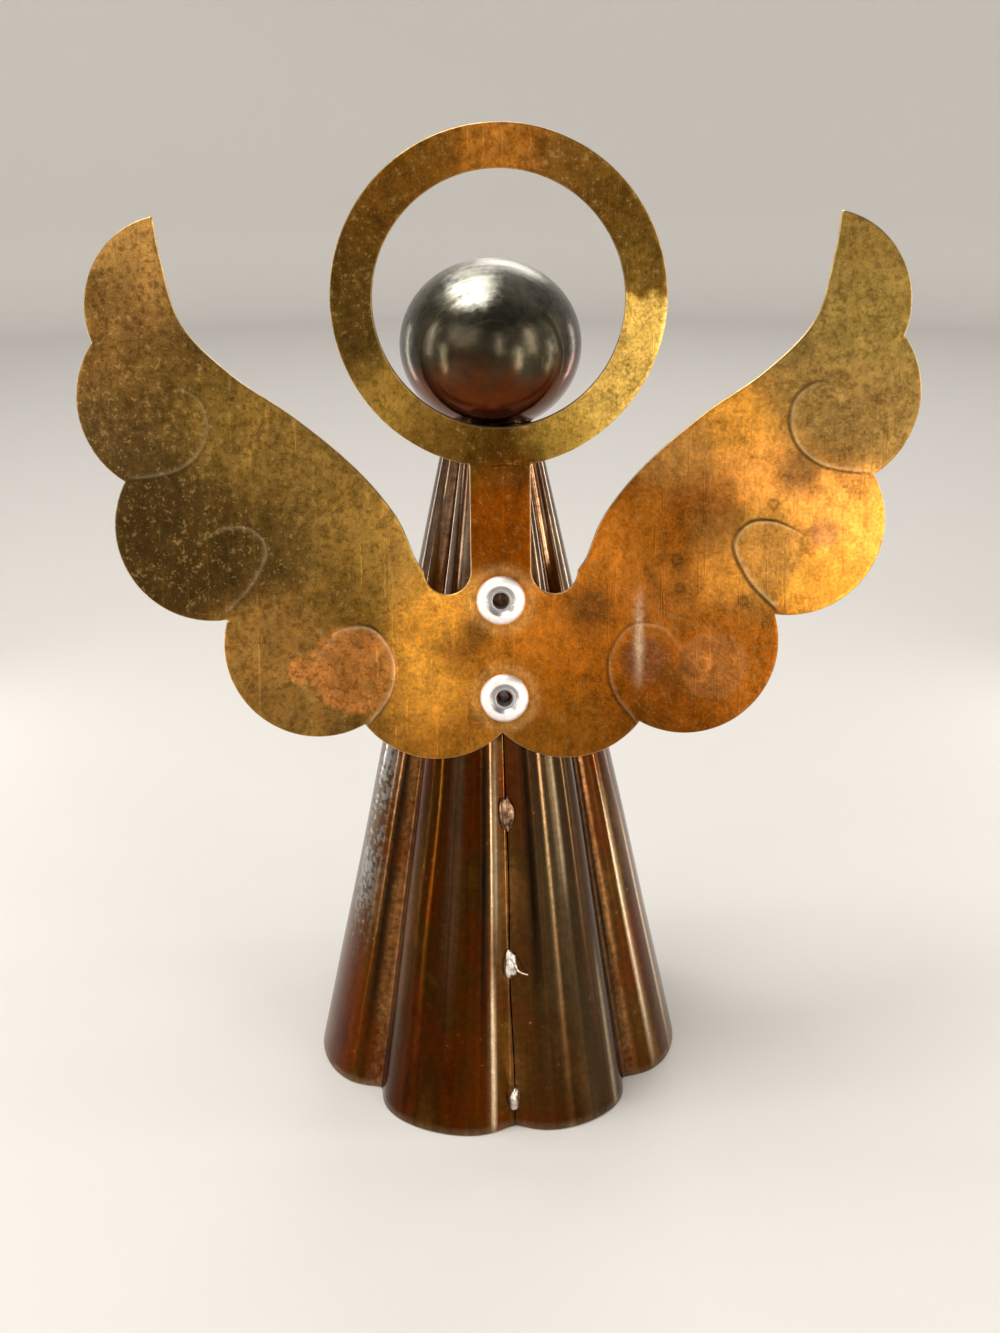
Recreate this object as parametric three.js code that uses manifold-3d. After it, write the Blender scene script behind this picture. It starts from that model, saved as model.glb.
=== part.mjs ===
// Angel hand bell of sheet brass.
//
// A fluted cone of thin sheet is the bell and the angel's skirt. A flat cut-out of wings, neck and
// halo is fastened to its back by two blind rivets, a hollow ball is the head, and a clapper hangs
// inside on a link. Millimetres, +Z up, standing on its rim at z = 0, wings on the -Y side.
import * as THREE from 'three';
import { mergeVertices } from 'three/addons/utils/BufferGeometryUtils.js';
import Module from 'manifold-3d';

const wasm = await Module();
wasm.setup();

const DEG = Math.PI / 180;
const GAP = 0.3;                 // clearance between pieces that touch on the real bell

// ---- driving dimensions ----------------------------------------------------------------------
// Skirt: a fluted cone rolled from one sheet, whose two edges meet in the seam fold.
const RIM_RADIUS = 27.44;        // crest of a flute at the rim
const MOUTH_RADIUS = 6.08;       // crest of a flute at the open top, under the head
const SKIRT_HEIGHT = 94.1;
const SKIRT_WALL = 0.6;
const SEAM_AZIMUTH = 5.3 * DEG;  // measured from -Y towards +X
const SEAM_SLIT = 0.35;          // open line between the two sheet edges
const WIDE_FLUTES = 6;
const WIDE_PITCH = 52.25 * DEG;  // the seventh flute takes what is left of the turn
const FOLD_DEPTH = 0.146;        // share of the radius that a fold goes in
const FOLD_SPREAD = 7 * DEG;
const SEAM_DEPTH = 0.098;
const SEAM_SPREAD = 5 * DEG;
const FOLD_ROUNDING = 1.5 * DEG;
const TAPER = (RIM_RADIUS - MOUTH_RADIUS) / SKIRT_HEIGHT;

// Wing and halo sheet, in its own plane: s across from its middle line, t up from the fold line
// along which the halo is bent upright.
const SHEET = 0.8;
const SHEET_OFFSET = 1.04;       // the sheet's middle line stands this far to +X of the bell's axis
const FEATHER_RADIUS = 12;
const TIP_RADIUS = 11.4;
const FEATHERS = [[8.45, -26.15], [24, -23], [37.3, -7.55], [41.3, 8.6]];
const TIP_CENTRE = [40.3, 19.8];
const TIP_POINT = [42.6, 30.9];
const UPPER_EDGE = [[41.8, 25.6], [39.6, 17.8], [33.6, 11.6], [25.9, 6.3], [18.5, 0], [13.4, -6.2], [10.9, -12]];
const NECK_WIDTH = 7.8;
const CUT_RADIUS = 3;            // round foot of the cut between neck and wing
const CUT_CENTRE = -13.4;
const HALO_INNER = 15.43;
const HALO_WIDTH = 5.17;
const HALO_OVERLAP = 0.07;       // how far the ring reaches below the fold line
const HALO_HEAD_GAP = 0.45;      // clearance between the ring's lower arc and the head

// Blind rivets of the 1/8 inch size, the mandrel snapped off inside.
const RIVETS = { upper: [-0.05, -17.2], lower: [0.3, -30] };
const RIVET_FLANGE = 3.175;
const RIVET_SHANK = 1.6;
const RIVET_BORE = 1.05;
const RIVET_DOME = 1.05;         // height of the flange over the sheet
const BLIND_RADIUS = 2.4;
const BLIND_LENGTH = 2.8;
const MANDREL_HEAD = 1.8;

// Solder tacks that close the seam: height on the skirt and half length along it.
const TACKS = { upper: [44.5, 2.2], middle: [23.2, 1.9], lower: [4.2, 1.6] };
const TACK_RISE = 1.15;

// Head: a hollow ball, slightly flattened.
const HEAD_RADIUS = 11.67;
const HEAD_HALF_HEIGHT = 10.74;
const HEAD_WALL = 0.5;

// Hanger: an eye screw drawn up through a disc in the skirt's mouth into a nut in the head.
const SCREW_RADIUS = 1.25;
const DISC_DROP = 1.05;          // from the head's lowest point to the disc
const DISC_THICKNESS = 0.6;
const WASHER_THICKNESS = 0.6;
const COLLAR_RADIUS = 2.3;
const COLLAR_THICKNESS = 0.8;
const NUT_RADIUS = 3.1;
const NUT_HEIGHT = 2.4;
const EYE_RADIUS = 2;            // middle line of the ring
const EYE_WIRE = 0.6;
const EYE_DROP = 3.7;            // from the collar's underside to the eye's centre

// Clapper: link, wire rod with a loop, and a drilled ball.
const LINK_RADIUS = 1.9;
const LINK_WIRE = 0.5;
const LINK_STRAIGHT = 3.2;
const LOOP_RADIUS = 2;
const ROD_WIRE = 0.6;
const HANG_GAP = 0.35;           // free play where two wires hang on each other
const BALL_RADIUS = 5.5;
const BALL_HEIGHT = 21;
const BALL_BORE_DEPTH = 5;

// ---- materials -------------------------------------------------------------------------------
const metal = (color, roughness) => new THREE.MeshStandardMaterial({ color, roughness, metalness: 1 });
const darkBrass = () => metal(0x5a4428, 0.3);
const wingBrass = () => metal(0xa8742c, 0.35);
const solder = () => metal(0x9a8f7c, 0.5);
const aluminium = () => metal(0xdfe0e2, 0.35);
const silvered = () => metal(0x77746c, 0.18);
const plainBrass = () => metal(0xa98a4a, 0.4);
const steel = () => metal(0x8c8d90, 0.4);

// ---- helpers ---------------------------------------------------------------------------------
// Merges the corners that faces share, so that a geometry is one closed body.
function welded(geometry) {
  const bare = geometry.clone();
  bare.deleteAttribute('normal');
  bare.deleteAttribute('uv');
  return mergeVertices(bare, 1e-4);
}

function solid(geometry) {
  const closed = welded(geometry);
  return new wasm.Manifold(new wasm.Mesh({
    numProp: 3,
    vertProperties: new Float32Array(closed.attributes.position.array),
    triVerts: new Uint32Array(closed.index.array),
  }));
}

function geometryOf(body) {
  const mesh = body.getMesh();
  const geometry = new THREE.BufferGeometry();
  geometry.setAttribute('position', new THREE.BufferAttribute(new Float32Array(mesh.vertProperties), 3));
  geometry.setIndex(new THREE.BufferAttribute(new Uint32Array(mesh.triVerts), 1));
  return geometry;
}

function piece(name, geometry, material) {
  const mesh = new THREE.Mesh(welded(geometry), material);
  mesh.name = name;
  return mesh;
}

// A profile of [radius, height] pairs turned about Z.
function turned(profile, segments = 24) {
  const points = profile.map(([r, z]) => new THREE.Vector2(r, z));
  return new THREE.LatheGeometry(points, segments).rotateX(Math.PI / 2);
}

// A rod along Z from one height to another.
function rod(radius, low, high, segments = 12) {
  return turned([[0, low], [radius, low], [radius, high], [0, high]], segments);
}

// ---- skirt -----------------------------------------------------------------------------------
const coneRadius = (z) => RIM_RADIUS - TAPER * z;

// Share of the cone's radius at an azimuth counted from the seam: 1 on a crest, less in a fold.
function flute(azimuth) {
  let share = 1;
  for (let k = 0; k <= WIDE_FLUTES; k++) {
    const depth = k ? FOLD_DEPTH : SEAM_DEPTH;
    const spread = k ? FOLD_SPREAD : SEAM_SPREAD;
    const turn = azimuth + k * WIDE_PITCH;
    const away = Math.abs(turn - 2 * Math.PI * Math.round(turn / (2 * Math.PI)));
    share -= depth * Math.exp((FOLD_ROUNDING - Math.hypot(away, FOLD_ROUNDING)) / spread);
  }
  return share;
}

const seamRadius = (z) => coneRadius(z) * flute(0);

// Clear radius inside the folds at a height.
const foldClearance = (z) => coneRadius(z) * (1 - FOLD_DEPTH) - SKIRT_WALL;

// The head sits on the inner edge of the folds at the skirt's mouth.
const sitting = foldClearance(SKIRT_HEIGHT) / HEAD_RADIUS;
const headCentre = SKIRT_HEIGHT + GAP + HEAD_HALF_HEIGHT * Math.sqrt(1 - sitting * sitting);

// A flat strip wrapped into the fluted cone. The strip's X runs round the bell from edge to edge,
// its Y runs up, and its Z is the layer: 0 at the inner depth, 1 at the outer one.
function wrapped(inner, outer, slit, low, high) {
  const columns = 14;
  const rows = 4;
  const edges = [0, 2 * Math.PI - WIDE_FLUTES * WIDE_PITCH];
  for (let k = 1; k <= WIDE_FLUTES; k++) edges.push(edges[1] + k * WIDE_PITCH);
  const strip = new THREE.BoxGeometry(edges.length - 1, 1, 1, (edges.length - 1) * columns, rows, 1);
  strip.translate((edges.length - 1) / 2, 0.5, 0.5);
  const corner = strip.attributes.position;
  for (let i = 0; i < corner.count; i++) {
    const along = corner.getX(i);
    const lobe = Math.min(Math.floor(along + 1e-6), edges.length - 2);
    const share = (1 - Math.cos(Math.PI * (along - lobe))) / 2;
    const z = low + (high - low) * corner.getY(i);
    const whole = edges[lobe] + (edges[lobe + 1] - edges[lobe]) * share;
    const margin = slit / 2 / seamRadius(z);
    const azimuth = SEAM_AZIMUTH + margin + whole * (1 - margin / Math.PI);
    const layer = inner + (outer - inner) * corner.getZ(i);
    const r = coneRadius(z) * flute(azimuth - SEAM_AZIMUTH) + layer;
    corner.setXYZ(i, r * Math.sin(azimuth), -r * Math.cos(azimuth), z);
  }
  return strip;
}

// How far the flutes reach towards -Y, as a share of the cone's radius: the sheet rests there.
let reach = 0;
for (let degree = -40; degree <= 40; degree += 0.5) {
  const azimuth = degree * DEG;
  reach = Math.max(reach, flute(azimuth - SEAM_AZIMUTH) * Math.cos(azimuth));
}

// ---- wing and halo sheet ---------------------------------------------------------------------
const LEAN = Math.atan(reach * TAPER);
const haloOuter = HALO_INNER + HALO_WIDTH;
const haloRise = haloOuter - HALO_OVERLAP;
const restDistance = (z) => reach * coneRadius(z) + GAP / Math.cos(LEAN);

// True if the upright ring, bent at a height, passes the head with its clearance.
function haloClearsHead(fold) {
  for (let degree = 0; degree < 360; degree += 3) {
    const x = SHEET_OFFSET + HALO_INNER * Math.cos(degree * DEG);
    const rise = (fold + haloRise + HALO_INNER * Math.sin(degree * DEG) - headCentre) / HEAD_HALF_HEIGHT;
    const depth = HEAD_RADIUS ** 2 * (1 - rise * rise) - x * x;
    if (depth > 0 && Math.sqrt(depth) + HALO_HEAD_GAP > restDistance(fold)) return false;
  }
  return true;
}

let foldHeight = SKIRT_HEIGHT;
while (!haloClearsHead(foldHeight)) foldHeight -= 0.1;
const heightOn = (t) => foldHeight + t * Math.cos(LEAN);

const sheetFrame = new THREE.Group();
sheetFrame.position.set(SHEET_OFFSET, -restDistance(foldHeight), foldHeight);
sheetFrame.rotation.x = Math.PI / 2 - LEAN;
sheetFrame.updateMatrix();

// Where two circles cross, on the side away from the wing's middle.
function notch([ax, ay], ra, [bx, by], rb) {
  const d = Math.hypot(bx - ax, by - ay);
  const along = (d * d + ra * ra - rb * rb) / (2 * d);
  const off = Math.sqrt(ra * ra - along * along);
  const [ux, uy] = [(bx - ax) / d, (by - ay) / d];
  return [ax + along * ux + off * uy, ay + along * uy - off * ux];
}

// One wing's outline from the sheet's middle line: round feathers outside, a flowing edge inside.
function wingOutline() {
  const shape = new THREE.Shape();
  const circles = FEATHERS.map((centre) => [centre, FEATHER_RADIUS]);
  circles.push([TIP_CENTRE, TIP_RADIUS]);
  const [first] = circles;
  const start = [0, first[0][1] - Math.sqrt(first[1] ** 2 - first[0][0] ** 2)];
  const joints = [start];
  for (let i = 1; i < circles.length; i++) joints.push(notch(...circles[i - 1], ...circles[i]));
  joints.push(TIP_POINT);
  shape.moveTo(...start);
  circles.forEach(([[cx, cy], r], i) => {
    const from = Math.atan2(joints[i][1] - cy, joints[i][0] - cx);
    const to = Math.atan2(joints[i + 1][1] - cy, joints[i + 1][0] - cx);
    shape.absarc(cx, cy, r, from, to, false);
  });
  shape.splineThru(UPPER_EDGE.map(([s, t]) => new THREE.Vector2(s, t)));
  const cutCentre = NECK_WIDTH / 2 + CUT_RADIUS;
  shape.absarc(cutCentre, CUT_CENTRE, CUT_RADIUS, 0, Math.PI, true);
  shape.lineTo(NECK_WIDTH / 2, 0);
  shape.lineTo(0, 0);
  return shape;
}

function extruded(shape, depth, curveSegments = 8) {
  return new THREE.ExtrudeGeometry(shape, { depth, bevelEnabled: false, curveSegments });
}

function ringShape(outer, inner, corners = 0) {
  const shape = new THREE.Shape();
  if (corners) {
    for (let i = 0; i < corners; i++) {
      const a = (i * 2 * Math.PI) / corners;
      shape[i ? 'lineTo' : 'moveTo'](outer * Math.cos(a), outer * Math.sin(a));
    }
  } else {
    shape.absarc(0, 0, outer, 0, 2 * Math.PI);
  }
  shape.holes.push(new THREE.Path().absarc(0, 0, inner, 0, 2 * Math.PI));
  return shape;
}

function rivetHoles() {
  const holes = Object.values(RIVETS).map(([s, t]) => rod(RIVET_SHANK + GAP, -8, 8, 20).translate(s, t, 0));
  return holes.map(solid).reduce((all, hole) => all.add(hole));
}

function wingHaloPlate() {
  const right = solid(extruded(wingOutline(), SHEET));
  const left = right.mirror([1, 0, 0]);
  const halo = extruded(ringShape(haloOuter, HALO_INNER), SHEET, 64).translate(0, haloRise, 0).rotateX(LEAN);
  const sheet = right.add(left).add(solid(halo)).subtract(rivetHoles());
  return piece('wing_halo_plate', geometryOf(sheet), wingBrass());
}

// ---- rivets, in the sheet's frame: +Z points out of the sheet's outer face ----------------------
function rivet(name, s, t) {
  const seat = SHEET + GAP;
  const seamAt = seamRadius(heightOn(t)) * Math.cos(SEAM_AZIMUTH);
  const restAt = restDistance(heightOn(t));
  const blind = seamAt - restAt - SKIRT_WALL - GAP;
  const crest = seat + RIVET_DOME;
  const sleeve = turned([
    [RIVET_BORE, seat + 0.55 * RIVET_DOME], [RIVET_BORE + 0.35, seat + 0.6 * RIVET_DOME],
    [RIVET_BORE + 0.85, crest - 0.08], [RIVET_FLANGE - 0.9, crest],
    [RIVET_FLANGE - 0.3, seat + 0.62 * RIVET_DOME], [RIVET_FLANGE, seat + 0.2], [RIVET_FLANGE, seat],
    [RIVET_SHANK, seat], [RIVET_SHANK, blind], [BLIND_RADIUS, blind - 0.3],
    [BLIND_RADIUS, blind - BLIND_LENGTH + 0.5], [RIVET_SHANK, blind - BLIND_LENGTH],
    [RIVET_BORE, blind - BLIND_LENGTH], [RIVET_BORE, seat + 0.55 * RIVET_DOME],
  ].reverse());
  const stub = RIVET_BORE - GAP;
  const foot = blind - BLIND_LENGTH - GAP;
  const mandrel = turned([
    [0, foot - 1.6], [0.9, foot - 1.4], [MANDREL_HEAD, foot - 0.6], [MANDREL_HEAD, foot],
    [stub, foot], [stub, seat - 0.6], [0, seat - 0.4],
  ]);
  const pieces = [
    piece(`rivet_${name}_sleeve`, sleeve, aluminium()),
    piece(`rivet_${name}_mandrel`, mandrel, steel()),
  ];
  pieces.forEach((mesh) => mesh.position.set(s, t, 0));
  return pieces;
}

// ---- skirt and its tacks -----------------------------------------------------------------------
function bellSkirt() {
  const holes = solid(geometryOf(rivetHoles()).applyMatrix4(sheetFrame.matrix));
  const body = solid(wrapped(-SKIRT_WALL, 0, SEAM_SLIT, 0, SKIRT_HEIGHT)).subtract(holes);
  return piece('bell_skirt', geometryOf(body), darkBrass());
}

// A drop of solder that fills the seam fold over a short length.
function solderTack(name, z, halfLength) {
  const slope = Math.atan(TAPER * flute(0));
  const drop = new THREE.SphereGeometry(1, 14, 10).scale(TACK_RISE, TACK_RISE + GAP, halfLength);
  drop.rotateX(-slope).translate(0, -seamRadius(z), z).rotateZ(SEAM_AZIMUTH);
  const keepOut = solid(wrapped(-4, GAP, 0.01, Math.max(0, z - 8), z + 8));
  return piece(`solder_tack_${name}`, geometryOf(solid(drop).subtract(keepOut)), solder());
}

// ---- head --------------------------------------------------------------------------------------
const headMouth = SCREW_RADIUS + GAP + 0.2;

function ellipse(radius, halfHeight, from, to, steps) {
  const points = [];
  for (let i = 0; i <= steps; i++) {
    const a = from + ((to - from) * i) / steps;
    points.push([radius * Math.cos(a), headCentre + halfHeight * Math.sin(a)]);
  }
  return points;
}

function headBall() {
  const inside = [HEAD_RADIUS - HEAD_WALL, HEAD_HALF_HEIGHT - HEAD_WALL];
  const mouth = (radius) => -Math.acos(headMouth / radius);
  const outer = ellipse(HEAD_RADIUS, HEAD_HALF_HEIGHT, mouth(HEAD_RADIUS), Math.PI / 2, 16);
  const inner = ellipse(...inside, Math.PI / 2, mouth(inside[0]), 10);
  outer.at(-1)[0] = 0;
  inner[0][0] = 0;
  return piece('head_ball', turned([...outer, ...inner, outer[0]], 28), silvered());
}

// Lowest height at which a flat face of the given radius rests inside the ball.
function restInHead(radius) {
  const share = radius / (HEAD_RADIUS - HEAD_WALL);
  return headCentre - (HEAD_HALF_HEIGHT - HEAD_WALL) * Math.sqrt(1 - share * share) + GAP;
}

const nutHeight = restInHead(NUT_RADIUS);

function headNut() {
  const nut = extruded(ringShape(NUT_RADIUS, SCREW_RADIUS + GAP, 6), NUT_HEIGHT).translate(0, 0, nutHeight);
  return piece('head_nut', nut, plainBrass());
}

// ---- hanger ------------------------------------------------------------------------------------
const discTop = headCentre - HEAD_HALF_HEIGHT - DISC_DROP;
const discHeight = discTop - DISC_THICKNESS;
const discRadius = foldClearance(discTop) - GAP - 0.05;
const washerHeight = discHeight - GAP - WASHER_THICKNESS;
const collarTop = washerHeight - GAP;
const eyeHeight = collarTop - COLLAR_THICKNESS - EYE_DROP;

function topDisc() {
  const disc = extruded(ringShape(discRadius, SCREW_RADIUS + GAP), DISC_THICKNESS);
  return piece('top_disc', disc.translate(0, 0, discHeight), plainBrass());
}

function lockWasher() {
  const inner = SCREW_RADIUS + GAP;
  const split = 0.3;
  const shape = new THREE.Shape();
  shape.absarc(0, 0, COLLAR_RADIUS, split, 2 * Math.PI - split, false);
  shape.absarc(0, 0, inner, 2 * Math.PI - split, split, true);
  const washer = extruded(shape, WASHER_THICKNESS, 24).translate(0, 0, washerHeight);
  return piece('lock_washer', washer, steel());
}

// A wire ring whose hole faces X, hanging in the YZ plane.
function uprightRing(radius, wire, z) {
  return new THREE.TorusGeometry(radius, wire, 8, 24).rotateX(Math.PI / 2).rotateZ(Math.PI / 2).translate(0, 0, z);
}

function eyeScrew() {
  const low = eyeHeight + EYE_RADIUS;
  const collarLow = collarTop - COLLAR_THICKNESS;
  const shank = turned([
    [0, low], [0.9, low], [0.9, collarLow], [COLLAR_RADIUS, collarLow], [COLLAR_RADIUS, collarTop],
    [SCREW_RADIUS, collarTop], [SCREW_RADIUS, nutHeight + NUT_HEIGHT], [0, nutHeight + NUT_HEIGHT + 0.4],
  ], 20);
  const body = solid(uprightRing(EYE_RADIUS, EYE_WIRE, eyeHeight)).add(solid(shank));
  return piece('eye_screw', geometryOf(body), steel());
}

// ---- clapper -----------------------------------------------------------------------------------
// The link's top wire rests on the eye's lower wire, and the rod's loop on the link's lower wire.
const linkTop = eyeHeight - EYE_RADIUS + EYE_WIRE + HANG_GAP + LINK_WIRE;
const linkBottom = linkTop - 2 * LINK_RADIUS - LINK_STRAIGHT;
const loopTop = linkBottom + LINK_WIRE + HANG_GAP + ROD_WIRE;

function clapperLink() {
  const ring = new THREE.TorusGeometry(LINK_RADIUS, LINK_WIRE, 8, 24);
  const corner = ring.attributes.position;
  for (let i = 0; i < corner.count; i++) {
    const y = corner.getY(i);
    corner.setY(i, y + (Math.abs(y) < 1e-6 ? 0 : Math.sign(y) * (LINK_STRAIGHT / 2)));
  }
  ring.rotateX(Math.PI / 2).translate(0, 0, (linkTop + linkBottom) / 2);
  return piece('clapper_link', ring, steel());
}

function clapperRod() {
  const loop = solid(uprightRing(LOOP_RADIUS, ROD_WIRE, loopTop - LOOP_RADIUS));
  const foot = BALL_HEIGHT + BALL_RADIUS - BALL_BORE_DEPTH + GAP;
  const wire = solid(rod(ROD_WIRE, foot, loopTop - 2 * LOOP_RADIUS, 12));
  return piece('clapper_rod', geometryOf(loop.add(wire)), steel());
}

function clapperBall() {
  const bore = ROD_WIRE + GAP;
  const steps = 12;
  const last = Math.acos(bore / BALL_RADIUS);
  const profile = [];
  for (let i = 0; i <= steps; i++) {
    const a = -Math.PI / 2 + ((last + Math.PI / 2) * i) / steps;
    profile.push([i ? BALL_RADIUS * Math.cos(a) : 0, BALL_HEIGHT + BALL_RADIUS * Math.sin(a)]);
  }
  const floor = BALL_HEIGHT + BALL_RADIUS - BALL_BORE_DEPTH;
  profile.push([bore, floor], [0, floor]);
  return piece('clapper_ball', turned(profile, 24), plainBrass());
}

// ---- assembly ----------------------------------------------------------------------------------
sheetFrame.add(wingHaloPlate());
for (const [name, [s, t]] of Object.entries(RIVETS)) sheetFrame.add(...rivet(name, s, t));

const bell = new THREE.Group();
bell.position.x = -SHEET_OFFSET; // the sheet's middle line is the plane x = 0
bell.add(bellSkirt());
for (const [name, [z, halfLength]] of Object.entries(TACKS)) bell.add(solderTack(name, z, halfLength));
bell.add(sheetFrame, headBall(), headNut(), topDisc(), lockWasher(), eyeScrew());
bell.add(clapperLink(), clapperRod(), clapperBall());

const angelBell = new THREE.Group();
angelBell.add(bell);
export default angelBell;
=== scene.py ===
"""Angel hand bell of sheet brass, seen from its back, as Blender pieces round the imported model.

Lengths inside a section are millimetres from the bell's axis and its resting face; MM turns them
into metres, and on_axis puts a mesh where the frame says that the axis stands.
"""

import math

import bpy
import numpy as np
from mathutils import Matrix, Vector
from mathutils.geometry import delaunay_2d_cdt


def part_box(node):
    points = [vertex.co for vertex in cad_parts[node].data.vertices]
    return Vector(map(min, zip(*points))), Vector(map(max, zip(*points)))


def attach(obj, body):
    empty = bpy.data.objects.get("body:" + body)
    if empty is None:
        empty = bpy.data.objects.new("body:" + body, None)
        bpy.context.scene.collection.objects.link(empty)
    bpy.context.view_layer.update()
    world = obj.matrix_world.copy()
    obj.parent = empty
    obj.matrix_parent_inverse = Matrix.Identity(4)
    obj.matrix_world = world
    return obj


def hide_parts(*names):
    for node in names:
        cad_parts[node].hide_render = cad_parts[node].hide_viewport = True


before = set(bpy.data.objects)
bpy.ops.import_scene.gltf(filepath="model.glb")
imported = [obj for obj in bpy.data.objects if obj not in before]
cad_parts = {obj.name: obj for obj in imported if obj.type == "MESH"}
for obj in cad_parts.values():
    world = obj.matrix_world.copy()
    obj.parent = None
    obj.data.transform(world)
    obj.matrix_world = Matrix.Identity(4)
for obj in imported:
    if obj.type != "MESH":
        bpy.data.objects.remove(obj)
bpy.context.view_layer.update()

# ---- Camera ------------------------------------------------------------------------------------
# A phone held 19 centimetres behind the bell, a little above the head, looking down at the wings.
# It points along the bell's own axis plane, which the head's box gives.
MM = 0.001
LENS = 38.98
SENSOR_WIDTH = 36
NEAREST = 0.01
head_low, head_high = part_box("head_ball")
AXIS_X = (head_low.x + head_high.x) / 2
CAMERA_BACK = 187.1
CAMERA_HEIGHT = 136.5
CAMERA_PITCH = math.radians(22.345)
CAMERA_YAW = math.radians(-0.263)
CAMERA_ROLL = math.radians(-0.502)

camera = bpy.data.objects.new("camera", bpy.data.cameras.new("camera"))
camera.data.lens = LENS
camera.data.sensor_width = SENSOR_WIDTH
camera.data.clip_start = NEAREST
camera.matrix_world = (
    Matrix.Translation((AXIS_X, -CAMERA_BACK * MM, CAMERA_HEIGHT * MM))
    @ Matrix.Rotation(CAMERA_YAW, 4, "Z")
    @ Matrix.Rotation(math.pi / 2 - CAMERA_PITCH, 4, "X")
    @ Matrix.Rotation(CAMERA_ROLL, 4, "Z")
)
bpy.context.scene.collection.objects.link(camera)
bpy.context.scene.camera = camera
bpy.context.scene.view_settings.view_transform = "Standard"

# ---- Studio: floor, wall and lights --------------------------------------------------------------
# A round pale table top that curves up into a pale wall, under one wide soft light, with fills beside
# and behind, and tall strips further out. Five low strips close round the bell, which the camera
# doesn't see, draw the bright lines down the polished flutes.
class Wire:
    """An output socket of a node tree. Arithmetic on wires adds Math nodes to that tree."""

    def __init__(self, tree, socket=None):
        self.tree = tree
        self.socket = socket

    def node(self, kind, settings=None, sockets=None, output=0):
        """Adds one node. Its settings come first, then a value or a wire for each named socket."""
        made = self.tree.nodes.new("ShaderNode" + kind)
        for name, value in (settings or {}).items():
            if name == "stops":
                for _ in range(len(value) - 2):
                    made.color_ramp.elements.new(0.5)
                for element, (place, colour) in zip(made.color_ramp.elements, value):
                    element.position = place
                    element.color = (*colour, 1)
            else:
                setattr(made, name, value)
        for name, value in (sockets or {}).items():
            if isinstance(value, Wire):
                self.tree.links.new(value.socket, made.inputs[name])
            else:
                made.inputs[name].default_value = value
        return Wire(self.tree, made.outputs[output])

    def math(self, operation, *values):
        return self.node("Math", {"operation": operation}, dict(enumerate(values)))

    def __add__(self, other):
        return self.math("ADD", self, other)

    def __sub__(self, other):
        return self.math("SUBTRACT", self, other)

    def __mul__(self, other):
        return self.math("MULTIPLY", self, other)

    def __rsub__(self, other):
        return self.math("SUBTRACT", other, self)

    __radd__ = __add__
    __rmul__ = __mul__

    def rising(self, low, high):
        """0 below low and 1 above high, with a smooth rise between them."""
        settings = {"interpolation_type": "SMOOTHSTEP"}
        return self.node("MapRange", settings, {"Value": self, "From Min": low, "From Max": high})

    def noise(self, scale, detail=3.0, roughness=0.5, distortion=0.0):
        """Cloudy noise about 0.5, read at this wire's points."""
        sockets = {"Vector": self, "Scale": scale, "Detail": detail, "Roughness": roughness}
        return self.node("TexNoise", {}, {**sockets, "Distortion": distortion})

    def stretched(self, turn, scale):
        """This wire's points turned and then scaled along each axis, for grain and scratches."""
        return self.node("Mapping", {}, {"Vector": self, "Rotation": turn, "Scale": scale})

    def ramp(self, stops):
        """The colour that a ramp of (place, colour) stops has at this number."""
        return self.node("ValToRGB", {"stops": stops}, {"Fac": self})

    def bump(self, strength, distance):
        """The normal of a surface with this number as its height."""
        return self.node("Bump", {}, {"Strength": strength, "Distance": distance, "Height": self})

    def mark(self, name):
        """The number that a piece's vertices carry under a name."""
        return self.node("Attribute", {"attribute_name": name}, output="Fac")

    def points(self):
        """The surface's own points, in the piece's Object coordinates."""
        return self.node("TexCoord", output="Object")

    def part(self, axis):
        """One of this point's three numbers: 0 across, 1 deep, 2 up."""
        return self.node("SeparateXYZ", sockets={"Vector": self}, output=axis)

    def toward(self, other, share):
        """This colour blended towards another one by a share from 0 to 1."""
        return self.node("Mix", {"data_type": "RGBA"}, {0: share, 6: self, 7: other}, 2)

    def brighter(self, factor):
        """This colour times a number."""
        return self.node("VectorMath", {"operation": "SCALE"}, {"Vector": self, "Scale": factor})


def new_finish(name):
    """A material, a wire into its node tree, and its Principled shader's input sockets."""
    material = bpy.data.materials.new(name)
    material.use_nodes = True
    tree = material.node_tree
    shader = next(n for n in tree.nodes if n.type == "BSDF_PRINCIPLED")
    return material, Wire(tree), shader.inputs


def feed(sockets, **values):
    """Puts values and wires into a shader's sockets, named with _ for a space."""
    for name, value in values.items():
        socket = sockets[name.replace("_", " ")]
        if isinstance(value, Wire):
            value.tree.links.new(value.socket, socket)
        else:
            socket.default_value = value


def new_mesh(name, points, faces, material, smooth_below=40):
    """An object at the origin from points in metres and faces that list their corners."""
    mesh = bpy.data.meshes.new(name)
    mesh.from_pydata(np.asarray(points).reshape(-1, 3).tolist(), [], faces)
    mesh.materials.append(material)
    mesh.shade_smooth()
    mesh.set_sharp_from_angle(angle=math.radians(smooth_below))
    made = bpy.data.objects.new(name, mesh)
    bpy.context.scene.collection.objects.link(made)
    return made


def grid_faces(rows, columns, round_rows=False, round_columns=False):
    """Four-cornered faces between neighbours of a grid, joined end to start where it is round."""
    i, j = np.meshgrid(
        np.arange(rows - (not round_rows)), np.arange(columns - (not round_columns)), indexing="ij"
    )
    down, across = (i + 1) % rows, (j + 1) % columns
    corners = [i * columns + j, down * columns + j, down * columns + across, i * columns + across]
    return np.stack(corners, -1).reshape(-1, 4).tolist()


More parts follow.
